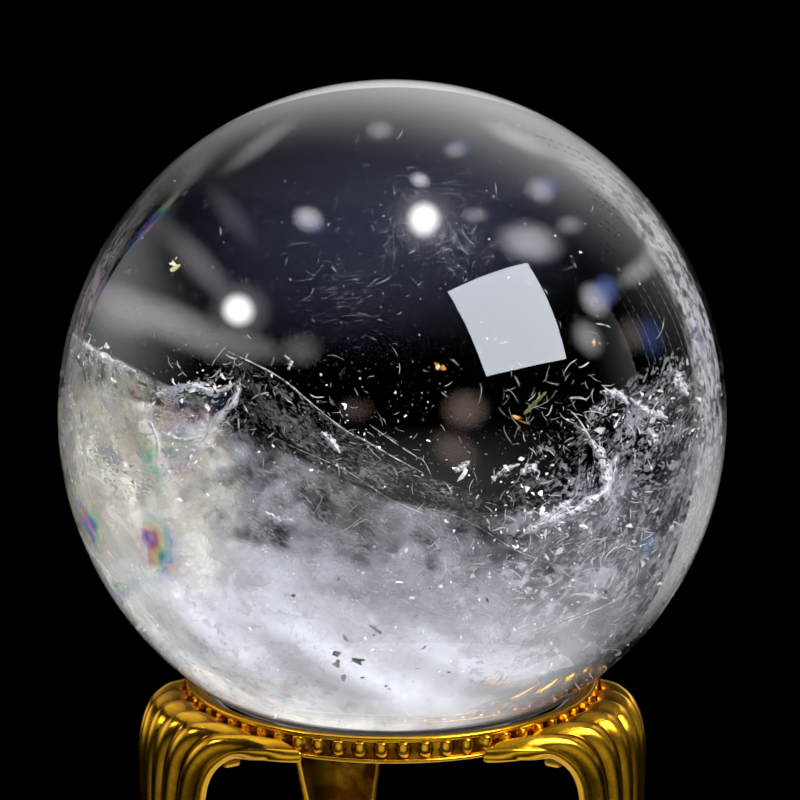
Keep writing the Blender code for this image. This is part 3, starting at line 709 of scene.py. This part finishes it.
def veil_sheet(name, finish, top, bottom, depths, strength=EVEN, soft=0.18, ripple=0.018, size=(90, 60)):
    """Sheet between two picture curves: p(u, v) = (1 - v) top(u) + v bottom(u), at a depth that runs from the
    first to the second share, with the ripple r / 2 (sin(9 u + 5 v) + 0.6 sin(23 u - 11 v + 1.3)). It fades
    over its soft edges, more sharply at the top, and takes its strength from four corners."""
    u, v = np.meshgrid(np.linspace(0, 1, size[0]), np.linspace(0, 1, size[1]), indexing="ij")
    upper, lower = (smooth_line(line, size[0])[:, None, :] for line in (top, bottom))
    picture = upper * (1 - v[..., None]) + lower * v[..., None]
    wave = np.sin(9 * u + 5 * v) + 0.6 * np.sin(23 * u - 11 * v + 1.3)
    depth = depths[0] + (depths[1] - depths[0]) * v + 0.5 * ripple * wave
    (top_left, top_right), (low_left, low_right) = strength
    weight = (1 - v) * (top_left * (1 - u) + top_right * u) + v * (low_left * (1 - u) + low_right * u)
    top_soft = 0.15 * soft
    edge_u = np.clip(np.minimum(u, 1 - u) / soft, 0, 1)
    edge_v = np.clip((1 - v) / soft, 0, 1) * np.clip(v / top_soft, 0, 1)
    flaw(name, finish, picture[None], depth[None], (edge_u * edge_v * weight)[None])


def edge_band(name, finish, start, end, wide, steps=9):
    """Veil just under the skin along the ball's outline: c + (R - w) (cos a, sin a) in the picture."""
    angle = np.radians(np.linspace(start, end, steps))
    ring = np.stack([np.cos(angle), np.sin(angle)], axis=-1)
    outer, inner = (np.array(BALL_CENTRE_PX) + (BALL_RADIUS_PX - gap) * ring for gap in (EDGE_GAP_PX, wide))
    veil_sheet(name, finish, outer, inner, depths=(0.08, 0.05), soft=0.35, ripple=0.01, size=(160, 24))


def painted_reflection_cap(finish, overlap=0.03, climb=0.6, thin=0.67, rows=48, columns=481):
    """Grey sheet under the ball's skin where it sits in the ring, a painted reflection that stands in for the
    dim grey seen through the ball's top:
    centre + k R (cos a sin t, sin a sin t, -cos t). It reaches just past the rim in front and climbs towards
    the back by a share of the rim's angle, as (1 + sin a) / 2. It thins out over a share of that climb."""
    rim = math.acos((BALL_CENTRE[2] - RIM_TOP) / BALL_RADIUS)
    part, angle = np.meshgrid(np.linspace(0.01, 1, rows), np.linspace(0, 2 * math.pi, columns), indexing="ij")
    extra = overlap + climb * 0.5 * (1 + np.sin(angle))
    tilt = rim * part * (1 + extra)
    away = np.stack([np.cos(angle) * np.sin(tilt), np.sin(angle) * np.sin(tilt), -np.cos(tilt)], axis=-1)
    points = BALL_CENTRE + SKIN_SHARE * BALL_RADIUS * away
    cap = make_piece("painted_reflection_cap", points, grid_faces(rows, columns), finish, "ball", "rock_crystal")
    set_values(cap, "fade", np.clip((1 + extra - tilt / rim) / (thin * extra), 0, 1))
    cap.visible_shadow = False


def soft_spots(name, finish, spots, rings=24, spokes=37):
    """Blurred spots: ellipses with strength (1 - rho^2)^2."""
    x, y, long, short, turn, depth, strength = np.array(spots, float).T[:, :, None, None]
    rho, angle = np.meshgrid(np.linspace(0.01, 1, rings), np.linspace(0, 2 * math.pi, spokes), indexing="ij")
    a, b, t = long * rho * np.cos(angle), short * rho * np.sin(angle), np.radians(turn)
    picture = np.stack([x + a * np.cos(t) - b * np.sin(t), y + a * np.sin(t) + b * np.cos(t)], axis=-1)
    flaw(name, finish, picture, depth, strength * (1 - rho ** 2) ** 2)


def strokes(name, finish, rng, groups, length_spread=0.4, width_spread=0.3, steps=9):
    """Hair-fine flaws: q(s) = start + L (s d + k s^2 n), of width w (4 s (1 - s))^0.5."""
    table = np.array(groups, float)
    x, y, wide, tall, heading, sway, length, bend, width, near, far = np.repeat(
        table[:, 1:], table[:, 0].astype(int), axis=0).T
    chance = rng.normal(size=(6, len(x)))
    start = np.stack([x + wide * chance[0], y + tall * chance[1]], axis=-1)[:, None, :]
    head = np.radians(heading + sway * chance[2])
    ahead = np.stack([np.cos(head), np.sin(head)], axis=-1)[:, None, :]
    aside = np.stack([-np.sin(head), np.cos(head)], axis=-1)[:, None, :]
    reach = (length * np.exp(length_spread * chance[3]))[:, None, None]
    curl = (bend * chance[4])[:, None, None]
    s = np.linspace(0, 1, steps)[None, :, None]
    middle = start + reach * (s * ahead + curl * s ** 2 * aside)
    across = aside - 2 * curl * s * ahead
    half = 0.5 * (width * np.exp(width_spread * chance[5]))[:, None, None] * np.sqrt(4 * s * (1 - s))
    picture = np.stack([middle - half * across, middle + half * across], axis=2)
    depth = rng.uniform(near, far)[:, None, None] + 0 * picture[..., 0]
    flaw(name, finish, picture, depth, 1.0)


def ribbons(name, finish, lines, steps=48, columns=5):
    """Ribbons along picture curves, of width w sin(pi s)^0.5 (1 + 0.25 sin(31 s + w)), a little deeper and
    fainter towards their sides."""
    s, side = np.linspace(0.02, 0.98, steps), np.linspace(-1, 1, columns)
    picture = []
    for points, width, _ in lines:
        middle = smooth_line(points, steps)
        along = np.gradient(middle, axis=0)
        across = np.stack([-along[:, 1], along[:, 0]], axis=-1) / np.linalg.norm(along, axis=1, keepdims=True)
        half = 0.5 * width * np.sin(math.pi * s) ** 0.5 * (1 + 0.25 * np.sin(31 * s + width))
        picture.append(middle[:, None, :] + (half[:, None] * side)[..., None] * across[:, None, :])
    depth = np.array([line[2] for line in lines], float)[:, None, None] + 0.02 * (side ** 2)[None, None, :]
    flaw(name, finish, np.array(picture), depth + 0 * s[None, :, None], 1 - 0.5 * side ** 4)


def random_turns(rng, count):
    """Rotation matrices of random unit quaternions."""
    quaternions = rng.normal(size=(count, 4))
    w, x, y, z = (quaternions / np.linalg.norm(quaternions, axis=1, keepdims=True)).T
    return np.stack([
        np.stack([1 - 2 * (y * y + z * z), 2 * (x * y - w * z), 2 * (x * z + w * y)], -1),
        np.stack([2 * (x * y + w * z), 1 - 2 * (x * x + z * z), 2 * (y * z - w * x)], -1),
        np.stack([2 * (x * z - w * y), 2 * (y * z + w * x), 1 - 2 * (x * x + y * y)], -1)], -2)


def scattered(name, finish, rng, clusters, slim=0.45, leaf=(5, 3), bend=0.9, size_spread=0.55, ragged=0.35):
    """Flakes of one kind, spread about picture points. A flake is a small leaf: x = s, y = slim w(s) t and
    z = slim k (s^2 + 0.3 t^2), with w(s) = sin(pi (s + 1) / 2)^0.7. Ragged edge, skew, turn, bend and size
    are random."""
    centres, sizes = [], []
    for x, y, wide, tall, near, far, count, size_mm in clusters:
        px, py = x + wide * rng.normal(size=count), y + tall * rng.normal(size=count)
        centres.append(inside_points(px, py, rng.uniform(near, far, count)))
        sizes.append(size_mm * MM * rng.lognormal(0, size_spread, count))
    centres, sizes = np.concatenate(centres)[:, None, :], np.concatenate(sizes)[:, None, None]
    count = len(centres)
    along, side = np.meshgrid(np.linspace(-1, 1, leaf[0]), np.linspace(-1, 1, leaf[1]), indexing="ij")
    width = np.sin(0.5 * math.pi * (along + 1)) ** 0.7 * side
    rough = 1 + ragged * rng.normal(size=(count, *along.shape))
    skew, curl = rng.normal(0, 0.5, (count, 1, 1)), bend * rng.normal(0, 0.5, (count, 1, 1))
    y = slim * width * rough + skew * slim * along ** 2
    z = curl * (along ** 2 + 0.3 * side ** 2) * slim
    leaves = np.stack([np.broadcast_to(along, y.shape), y, z], axis=-1).reshape(count, -1, 3)
    away = np.einsum("nij,nkj->nki", random_turns(rng, count), leaves) * sizes + centres - BALL_CENTRE
    reach = np.linalg.norm(away, axis=-1, keepdims=True)
    points = BALL_CENTRE + away * np.minimum(1, SKIN_SHARE * BALL_RADIUS / reach)
    make_piece(name, points, many_faces(count, *leaf), finish, "ball", "rock_crystal")


class CRYSTAL_OT_ball(bpy.types.Operator):
    """Polished ball: centre + R (cos a sin t, sin a sin t, cos t)"""
    bl_idname = "crystal.ball"
    bl_label = "Crystal ball"

    def execute(self, context):
        segments = context.scene.crystal_ball.segments
        rings = segments // 2
        tilt = np.linspace(0, math.pi, rings + 1)[1:-1]
        profile = np.stack([BALL_RADIUS * np.sin(tilt), BALL_RADIUS * np.cos(tilt)], axis=-1)
        skin = np.swapaxes(turned(profile, segments), 0, 1).reshape(-1, 3)
        points = np.vstack([skin, [(0, 0, BALL_RADIUS)], [(0, 0, -BALL_RADIUS)]]) + BALL_CENTRE
        quads = grid_faces(rings - 1, segments, close_columns=True)[:, ::-1]
        ring = np.arange(segments)
        after = (ring + 1) % segments
        last = (rings - 2) * segments
        top = np.stack([0 * ring + len(skin), ring, after], axis=-1)
        base = np.stack([0 * ring + len(skin) + 1, last + after, last + ring], axis=-1)
        ball = make_piece("ball_polished", points, [*quads.tolist(), *top.tolist(), *base.tolist()],
                          rock_crystal(), "ball", "rock_crystal")
        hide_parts("crystal_ball")
        return {"FINISHED"}


class CRYSTAL_OT_veils(bpy.types.Operator):
    """Healed fractures, the open rainbow fracture and fine lines inside the stone, and sheets of painted glow
    and painted reflection
    """
    bl_idname = "crystal.veils"
    bl_label = "Veils in the stone"

    def execute(self, context):
        settings = context.scene.crystal_ball
        rng = np.random.default_rng(settings.seed)
        finishes = {"rainbow fracture film": film_finish()}
        for look, (code, *numbers) in VEIL_LOOKS.items():
            colour = linear(code) if code else settings.veil
            finishes[look] = veil_finish(look, colour, *numbers)
        for name, (look, *sheet) in VEIL_SHEETS_PX.items():
            veil_sheet(name, finishes[look], *sheet)
        for name, band in EDGE_BANDS_PX.items():
            edge_band(name, finishes["quartz mottled edge"], *band)
        painted_reflection_cap(finishes["quartz smoky base"])
        veil_sheet("fracture_rainbow", finishes["rainbow fracture film"], *RAINBOW_SHEET_PX)
        for name, (look, spots) in SPOTS_PX.items():
            soft_spots(name, finishes[look], spots)
        for name, (look, lines) in RIBBONS_PX.items():
            ribbons(name, finishes[look], lines)
        for name, (look, groups) in STROKES_PX.items():
            strokes(name, finishes[look], rng, groups)
        return {"FINISHED"}


class CRYSTAL_OT_flakes(bpy.types.Operator):
    """Chips, needles and dust scattered in the stone"""
    bl_idname = "crystal.flakes"
    bl_label = "Flakes and needles in the stone"

    def execute(self, context):
        settings = context.scene.crystal_ball
        rng = np.random.default_rng(settings.seed)
        finishes = {}
        for look, (light, dark, roughness) in CHIP_LOOKS.items():
            colour = linear(light) if light else settings.flake
            finishes[look] = chip_finish(look, colour, linear(dark), roughness)
        for name, (look, clusters, *shape) in FLAKES_PX.items():
            scattered(name, finishes[look], rng, clusters, *shape)
        ribbons("thread_green", finishes["green fleck"], GREEN_THREAD_PX)
        return {"FINISHED"}


def tongue_strip(count, relief, crest=0.4, half_width=0.3, rise=0.75, fall=0.56, wall=0.5 * MM):
    """Strip of tongues: r = base + h (1 - x^2 - y^2)^0.5, with x across a tongue and y down from its crest,
    both over its half axes. Those are shares of the pitch and of the strip's height. Returns points, faces
    and how deep each point lies."""
    per_tongue, rows = 14, 18
    base = STRIP_RADIUS - relief
    angle = np.linspace(0, 2 * math.pi, count * per_tongue, endpoint=False)[:, None]
    tall = RIM_BOTTOM - FLANGE_TOP
    down = np.linspace(0, tall, rows)[None, :]
    pitch = 2 * math.pi * base / count
    across = ((angle * count / (2 * math.pi)) % 1.0 - 0.5) * pitch
    below = down - crest * tall
    off = np.hypot(across / (half_width * pitch), below / np.where(below < 0, rise * tall, fall * tall))
    swell = np.sqrt(np.clip(1 - off ** 2, 0, 1))
    out = np.concatenate([base + relief * swell, np.full_like(swell, base - wall)], axis=1)
    up = RIM_BOTTOM - np.concatenate([down, down[:, ::-1]], axis=1)
    skin = np.stack([out * np.sin(angle), -out * np.cos(angle), up + 0 * out], axis=-1)
    points, faces = joined([(skin, grid_faces(*out.shape, close_rows=True, close_columns=True))])
    # How deep each point lies, which the gilt finish turns into painted shade between the tongues and over
    # the strip's inner wall
    return points, faces, np.concatenate([1 - swell, np.ones_like(swell)], axis=1)


class CRYSTAL_OT_ring(bpy.types.Operator):
    """Seat ring with its lugs, and the strip of tongues round it"""
    bl_idname = "crystal.ring"
    bl_label = "Gallery ring"

    def execute(self, context):
        settings = context.scene.crystal_stand
        gilt = gilt_brass()
        points, faces, hollow = tongue_strip(settings.tongues, settings.tongue_relief)
        strip = make_piece("gallery_tongues", points, faces, gilt, "stand", "gilt_brass", recess=hollow)
        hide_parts("gallery_strip")
        clear = math.hypot(BAND_RADIUS, BALL_CENTRE[2] - RIM_TOP)
        lip, step = BAND_RADIUS - 0.6 * MM, BAND_RADIUS - 0.9 * MM
        lip_top = BALL_CENTRE[2] - math.sqrt(clear ** 2 - lip ** 2)
        step_top = FLANGE_TOP + 0.5 * MM
        profile = [(RING_BORE, RING_BASE), (RIM_RADIUS, RING_BASE), (RIM_RADIUS, FLANGE_TOP),
                   (BAND_RADIUS, FLANGE_TOP), (BAND_RADIUS, RIM_BOTTOM), (RIM_RADIUS, RIM_BOTTOM),
                   (RIM_RADIUS, RIM_TOP), (BAND_RADIUS, RIM_TOP), (lip, lip_top), (lip, step_top),
                   (step, step_top), (RING_BORE, FLANGE_TOP)]
        forms = [turned_ring(profile, corner=0.22 * MM, segments=240)]
        sunk = 0.2 * MM
        lug, lug_faces = rounded_block((-LUG_HALF_WIDTH, -LUG_OUTER_RADIUS, LUG_BOTTOM),
                                       (LUG_HALF_WIDTH, -LUG_INNER_RADIUS, RING_BASE + sunk), corner=0.4 * MM)
        forms += [(turn_about_z(lug, azimuth), lug_faces) for azimuth in LEG_AZIMUTHS.values()]
        ring = make_piece("ring_cast", *joined(forms), gilt, "stand", "gilt_brass")
        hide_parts("seat_ring")
        return {"FINISHED"}


def leg_stations(settings):
    """Stations of a leg from ring to toe: radius, height, half width, arch and droop of its edges. Stations
    between the named places take shares of them."""
    root = STRIP_RADIUS + CLEARANCE
    out = 5.2 * MM
    knee = root + out
    root_half, knee_half, calf_half = 13.0 * MM, 5.6 * MM, 5.0 * MM
    ankle_half, toe_half = 3.0 * MM, 5.4 * MM
    arch, droop, fall = 1.1 * MM, 1.2 * MM, 8.4 * MM
    ankle, ankle_height, toe = 23.8 * MM, 12.5 * MM, 31.2 * MM
    root_height = RIM_TOP - 1.3 * MM
    crest = root_height + 0.7 * MM
    knee_height = crest - fall
    sole = PAD_HEIGHT + CLEARANCE + settings.leg_thickness
    return [
        (root, root_height, root_half, 0.0, 0.25 * droop),
        (root + 0.34 * out, crest, 0.85 * root_half, 0.2 * arch, 0.75 * droop),
        (root + 0.69 * out, crest - 0.05 * fall, 0.4 * root_half + 0.6 * knee_half, 0.6 * arch, droop),
        (root + 0.93 * out, crest - 0.37 * fall, 0.15 * root_half + 0.85 * knee_half, 0.8 * arch,
         0.8 * droop),
        (knee, knee_height, knee_half, arch, 0.0),
        (0.85 * knee + 0.15 * ankle, 0.6 * knee_height + 0.4 * ankle_height, calf_half, 0.9 * arch, 0.0),
        (ankle, ankle_height, ankle_half, 0.6 * arch, 0.0),
        (0.7 * ankle + 0.3 * toe, sole + 0.25 * ankle_height, 0.5 * (ankle_half + toe_half), 0.4 * arch, 0.0),
        (toe, sole + settings.reed_relief, toe_half, 0.1 * arch, 0.0),
    ]


def leg_surface(settings, rows=150, per_reed=12, edge_steps=7):
    """Reeded leg in front of the axis. At station s and place v across it, the line r(s) - a v^2,
    z(s) - d v^2 is carried to the angle w(s) v / r(s) round the ring. Reeds stand out from it by
    h |sin(n pi (v + 1) / 2)|. The edges are half round over the wall, and the back is smooth. Returns points
    and how deep each one lies."""
    radius, height, half, arch, droop = smooth_line(leg_stations(settings), rows).T[:, :, None]
    wall = settings.leg_thickness
    v = np.linspace(-1, 1, settings.reeds * per_reed + 1)
    reed = np.abs(np.sin(0.5 * math.pi * settings.reeds * (v + 1)))
    arc = np.linspace(0.5 * math.pi, -0.5 * math.pi, edge_steps + 2)[1:-1]
    across = np.concatenate([v, np.ones(edge_steps), v[::-1], -np.ones(edge_steps)])[None, :]
    bulge = np.concatenate([0 * v, 0.5 * wall * np.cos(arc), 0 * v, -0.5 * wall * np.cos(arc[::-1])])[None, :]
    lift = np.concatenate([settings.reed_relief * reed, 0.5 * wall * (np.sin(arc) - 1), 0 * v - wall,
                           0.5 * wall * (np.sin(arc[::-1]) - 1)])[None, :]
    # How deep each point lies, which the gilt finish turns into painted shade: in full in the reed valleys
    # and over the back, not at all on the rounded edges
    hollow = np.concatenate([1 - reed, np.zeros(edge_steps), 0 * v + 1, np.zeros(edge_steps)])
    line_radius, line_height = radius - arch * across ** 2, height - droop * across ** 2
    run, rise = np.gradient(line_radius, axis=0), np.gradient(line_height, axis=0)
    length = np.hypot(run, rise)
    out = line_radius - lift * rise / length
    up = line_height + lift * run / length
    angle = (half * across + bulge) / radius
    points = np.stack([out * np.sin(angle), -out * np.cos(angle), up], axis=-1)
    return points, np.broadcast_to(hollow, up.shape)


class CRYSTAL_OT_legs(bpy.types.Operator):
    """Three reeded cast legs with the boss behind each and the sole under its toe"""
    bl_idname = "crystal.legs"
    bl_label = "Reeded legs"

    def execute(self, context):
        gilt = gilt_brass()
        settings = context.scene.crystal_stand
        wall = settings.leg_thickness
        skin, hollow = leg_surface(settings)
        knee_station, sunk = 4, 0.75 * wall
        knee = leg_stations(settings)[knee_station][0]
        boss = rounded_block((-LUG_HALF_WIDTH, sunk - knee, LUG_BOTTOM),
                             (LUG_HALF_WIDTH, -(LUG_OUTER_RADIUS + CLEARANCE), RING_BASE - CLEARANCE),
                             corner=0.5 * MM)
        low = PAD_HEIGHT + CLEARANCE
        profile = [(AXIS_GAP, low), (PAD_RADIUS, low), (PAD_RADIUS, low + wall), (AXIS_GAP, low + wall)]
        sole, sole_faces = turned_ring(profile, corner=0.3 * MM, segments=48)
        points, faces = joined([(skin, capped_faces(*skin.shape[:2])), boss,
                                (sole - (0, PAD_REACH, 0), sole_faces)])
        # The boss and the sole take half of the painted recess shade
        half_deep = np.full(len(points) - hollow.size, 0.5)
        deep = np.concatenate([hollow.ravel(), half_deep])
        for side, azimuth in LEG_AZIMUTHS.items():
            leg = make_piece("leg_reeded_" + side, turn_about_z(points, azimuth), faces,
                             gilt, "stand", "gilt_brass", recess=deep)
            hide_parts("leg_" + side)
        return {"FINISHED"}


class CRYSTAL_OT_small_parts(bpy.types.Operator):
    """Felt liner and pads, and the finish of screws and washers"""
    bl_idname = "crystal.small_parts"
    bl_label = "Small parts"

    def execute(self, context):
        steel, felt = steel_finish(), felt_finish()
        corners = np.array([vertex.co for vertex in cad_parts["seat_liner"].data.vertices])
        section = np.stack([np.hypot(corners[:, 0], corners[:, 1]), corners[:, 2]], axis=-1)
        section = np.unique(np.round(section, 6), axis=0)
        away = section - section.mean(axis=0)
        section = section[np.argsort(np.arctan2(away[:, 1], away[:, 0]))]
        form = joined([turned_ring(section, corner=0.12 * MM, segments=200)])
        liner = make_piece("liner_felt", *form, felt, "stand", "felt")
        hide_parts("seat_liner")
        bulge = 0.15 * MM
        profile = [(AXIS_GAP, 0), (PAD_RADIUS - bulge, 0), (PAD_RADIUS, 0.5 * PAD_HEIGHT),
                   (PAD_RADIUS - bulge, PAD_HEIGHT), (AXIS_GAP, PAD_HEIGHT)]
        pad, faces = joined([turned_ring(profile, corner=0.3 * MM, segments=64)])
        for side, azimuth in LEG_AZIMUTHS.items():
            points = turn_about_z(pad - (0, PAD_REACH, 0), azimuth)
            piece = make_piece("pad_felt_" + side, points, faces, felt, "stand", "felt")
            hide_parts("foot_pad_" + side)
            for name in ("leg_screw_" + side, "leg_washer_" + side):
                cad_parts[name].data.materials.clear()
                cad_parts[name].data.materials.append(steel)
        return {"FINISHED"}


def add_softbox(name, spot, distance, size, radiance, colour):
    """Square area lamp that faces the ball, placed so that its glint shows at a picture point."""
    point, direction, _ = lamp_place(*spot)
    light = bpy.data.lights.new(name, "AREA")
    light.size = size
    light.energy = radiance * math.pi * size * size
    light.color = linear(colour)
    lamp = bpy.data.objects.new(name, light)
    bpy.context.scene.collection.objects.link(lamp)
    lamp.location = point + distance * direction
    lamp.rotation_mode = "QUATERNION"
    lamp.rotation_quaternion = Vector(direction).to_track_quat("Z", "Y")
    lamp.visible_camera = False


def light_card(name, points, faces, fade, radiance, seen_through=True):
    """White diffuser cloth lit from behind: its brightness follows a fade and falls off smoothly to its edge.
    The camera sees it only in the metal and, if seen_through, in the stone."""
    finish, tree = new_material(name)
    along = add_node(tree, "ShaderNodeAttribute", {"attribute_name": "fade"})
    strength = add_node(tree, "ShaderNodeMath", {"operation": "MULTIPLY"},
                        i0=along.outputs["Fac"], i1=radiance)
    finished(finish, add_node(tree, "ShaderNodeEmission", Strength=strength.outputs[0]))
    card = link_mesh(name, points, faces, finish, smooth=False)
    set_values(card, "fade", fade)
    card.visible_camera = False
    card.visible_transmission = seen_through


def add_round_lamp(name, spot, distance, half_size, radiance, rings=20, spokes=48):
    """Round lamp with a soft edge that shows as a round glint at a picture point: brightness (1 - rho^2)^2
    over an ellipse, longer in the plane of reflection because the ball foreshortens it there."""
    point, direction, normal = lamp_place(*spot)
    cosine = float(np.dot(normal, direction))
    up = (normal - cosine * direction) / math.sqrt(1 - cosine ** 2)
    side = np.cross(direction, up)
    rho, angle = np.meshgrid(np.linspace(0.02, 1, rings), np.linspace(0, 2 * math.pi, spokes, endpoint=False),
                             indexing="ij")
    a, b = half_size * rho * np.cos(angle), half_size / cosine ** 2 * rho * np.sin(angle)
    points = point + distance * direction + a[..., None] * side + b[..., None] * up
    light_card(name, points, grid_faces(rings, spokes, close_columns=True), (1 - rho ** 2) ** 2, radiance)


def add_panel(name, azimuth, elevation, distance, wide, tall, radiance, seen_through, steps=40):
    """Curtain of light bent round the ball: angles a, e about a middle direction at one distance, with
    brightness (1 - u^2)^2 (1 - v^2)^2."""
    u, v = np.meshgrid(np.linspace(-1, 1, steps), np.linspace(-1, 1, steps), indexing="ij")
    a, e = np.radians(azimuth + 0.5 * wide * u), np.radians(elevation + 0.5 * tall * v)
    away = np.stack([np.cos(e) * np.sin(a), -np.cos(e) * np.cos(a), np.sin(e)], axis=-1)
    fade = ((1 - u ** 2) * (1 - v ** 2)) ** 2
    light_card(name, BALL_CENTRE + distance * away, grid_faces(steps, steps), fade, radiance, seen_through)


def add_floor(radius, thick=6 * MM, corner=1.5 * MM, segments=96):
    """Round floor whose top is at height 0, with soft edges."""
    steps = 4
    edge = rounded([(radius, 0), (radius, -thick), (0, -thick), (0, 0)], corner, steps)
    points = turned(np.vstack([(0, 0), edge[:2 * steps], (0, -thick)]), segments)
    faces = grid_faces(*points.shape[:2], close_rows=True)
    link_mesh("floor", points, faces, floor_finish(), smooth=False)


class CRYSTAL_OT_stage(bpy.types.Operator):
    """Pale floor, dark surround, soft lamps and the camera"""
    bl_idname = "crystal.stage"
    bl_label = "Stage"

    def execute(self, context):
        scene = context.scene
        add_floor(scene.crystal_stage.floor_radius)
        add_softbox("softbox_key", KEY_SPOT_PX, KEY_DISTANCE, KEY_SIZE, KEY_RADIANCE, KEY_COLOUR)
        for name, spot in ROUND_LAMPS_PX.items():
            add_round_lamp(name, spot, ROUND_LAMP_DISTANCE, ROUND_LAMP_HALF, ROUND_LAMP_RADIANCE)
        for name, panel in PANELS.items():
            add_panel(name, *panel)
        world = bpy.data.worlds.new("dark studio")
        world.use_nodes = True
        world.node_tree.nodes["Background"].inputs["Color"].default_value = (*linear("#000000"), 1)
        scene.world = world
        lens = bpy.data.cameras.new("camera")
        lens.sensor_width = SENSOR_MM
        lens.lens = FOCAL_PX * SENSOR_MM / PICTURE_PX
        lens.shift_x = (0.5 * PICTURE_PX - BALL_CENTRE_PX[0]) / PICTURE_PX
        lens.shift_y = (BALL_CENTRE_PX[1] - 0.5 * PICTURE_PX) / PICTURE_PX
        lens.clip_start = 0.01
        camera = bpy.data.objects.new("camera", lens)
        scene.collection.objects.link(camera)
        camera.location = CAMERA_PLACE
        camera.rotation_mode = "QUATERNION"
        camera.rotation_quaternion = Vector(VIEW_FORWARD).to_track_quat("-Z", "Y")
        scene.camera = camera
        scene.view_settings.view_transform = "Standard"
        scene.cycles.transparent_max_bounces = 48
        scene.cycles.transmission_bounces = 24
        scene.cycles.max_bounces = 32
        return {"FINISHED"}


class CRYSTAL_PT_panel(bpy.types.Panel):
    """Lists the pieces in the sidebar"""
    bl_idname = "CRYSTAL_PT_panel"
    bl_label = "Crystal ball"
    bl_space_type = "VIEW_3D"
    bl_region_type = "UI"
    bl_category = "Crystal ball"

    def draw(self, context):
        for operator in OPERATORS:
            self.layout.operator(operator.bl_idname)


OPERATORS = (CRYSTAL_OT_stage, CRYSTAL_OT_ball, CRYSTAL_OT_veils, CRYSTAL_OT_flakes, CRYSTAL_OT_ring,
             CRYSTAL_OT_legs, CRYSTAL_OT_small_parts)
CLASSES = (BallSettings, StandSettings, StageSettings, *OPERATORS, CRYSTAL_PT_panel)


def register():
    """Add the classes and the settings to Blender."""
    for kind in CLASSES:
        bpy.utils.register_class(kind)
    bpy.types.Scene.crystal_ball = bpy.props.PointerProperty(type=BallSettings)
    bpy.types.Scene.crystal_stand = bpy.props.PointerProperty(type=StandSettings)
    bpy.types.Scene.crystal_stage = bpy.props.PointerProperty(type=StageSettings)


def unregister():
    """Take the classes and the settings out again."""
    del bpy.types.Scene.crystal_ball, bpy.types.Scene.crystal_stand, bpy.types.Scene.crystal_stage
    for kind in reversed(CLASSES):
        bpy.utils.unregister_class(kind)


def main():
    """Register, and run every operator in order."""
    register()
    bpy.ops.crystal.stage()
    bpy.ops.crystal.ball()
    bpy.ops.crystal.veils()
    bpy.ops.crystal.flakes()
    bpy.ops.crystal.ring()
    bpy.ops.crystal.legs()
    bpy.ops.crystal.small_parts()


if __name__ == "__main__":
    main()
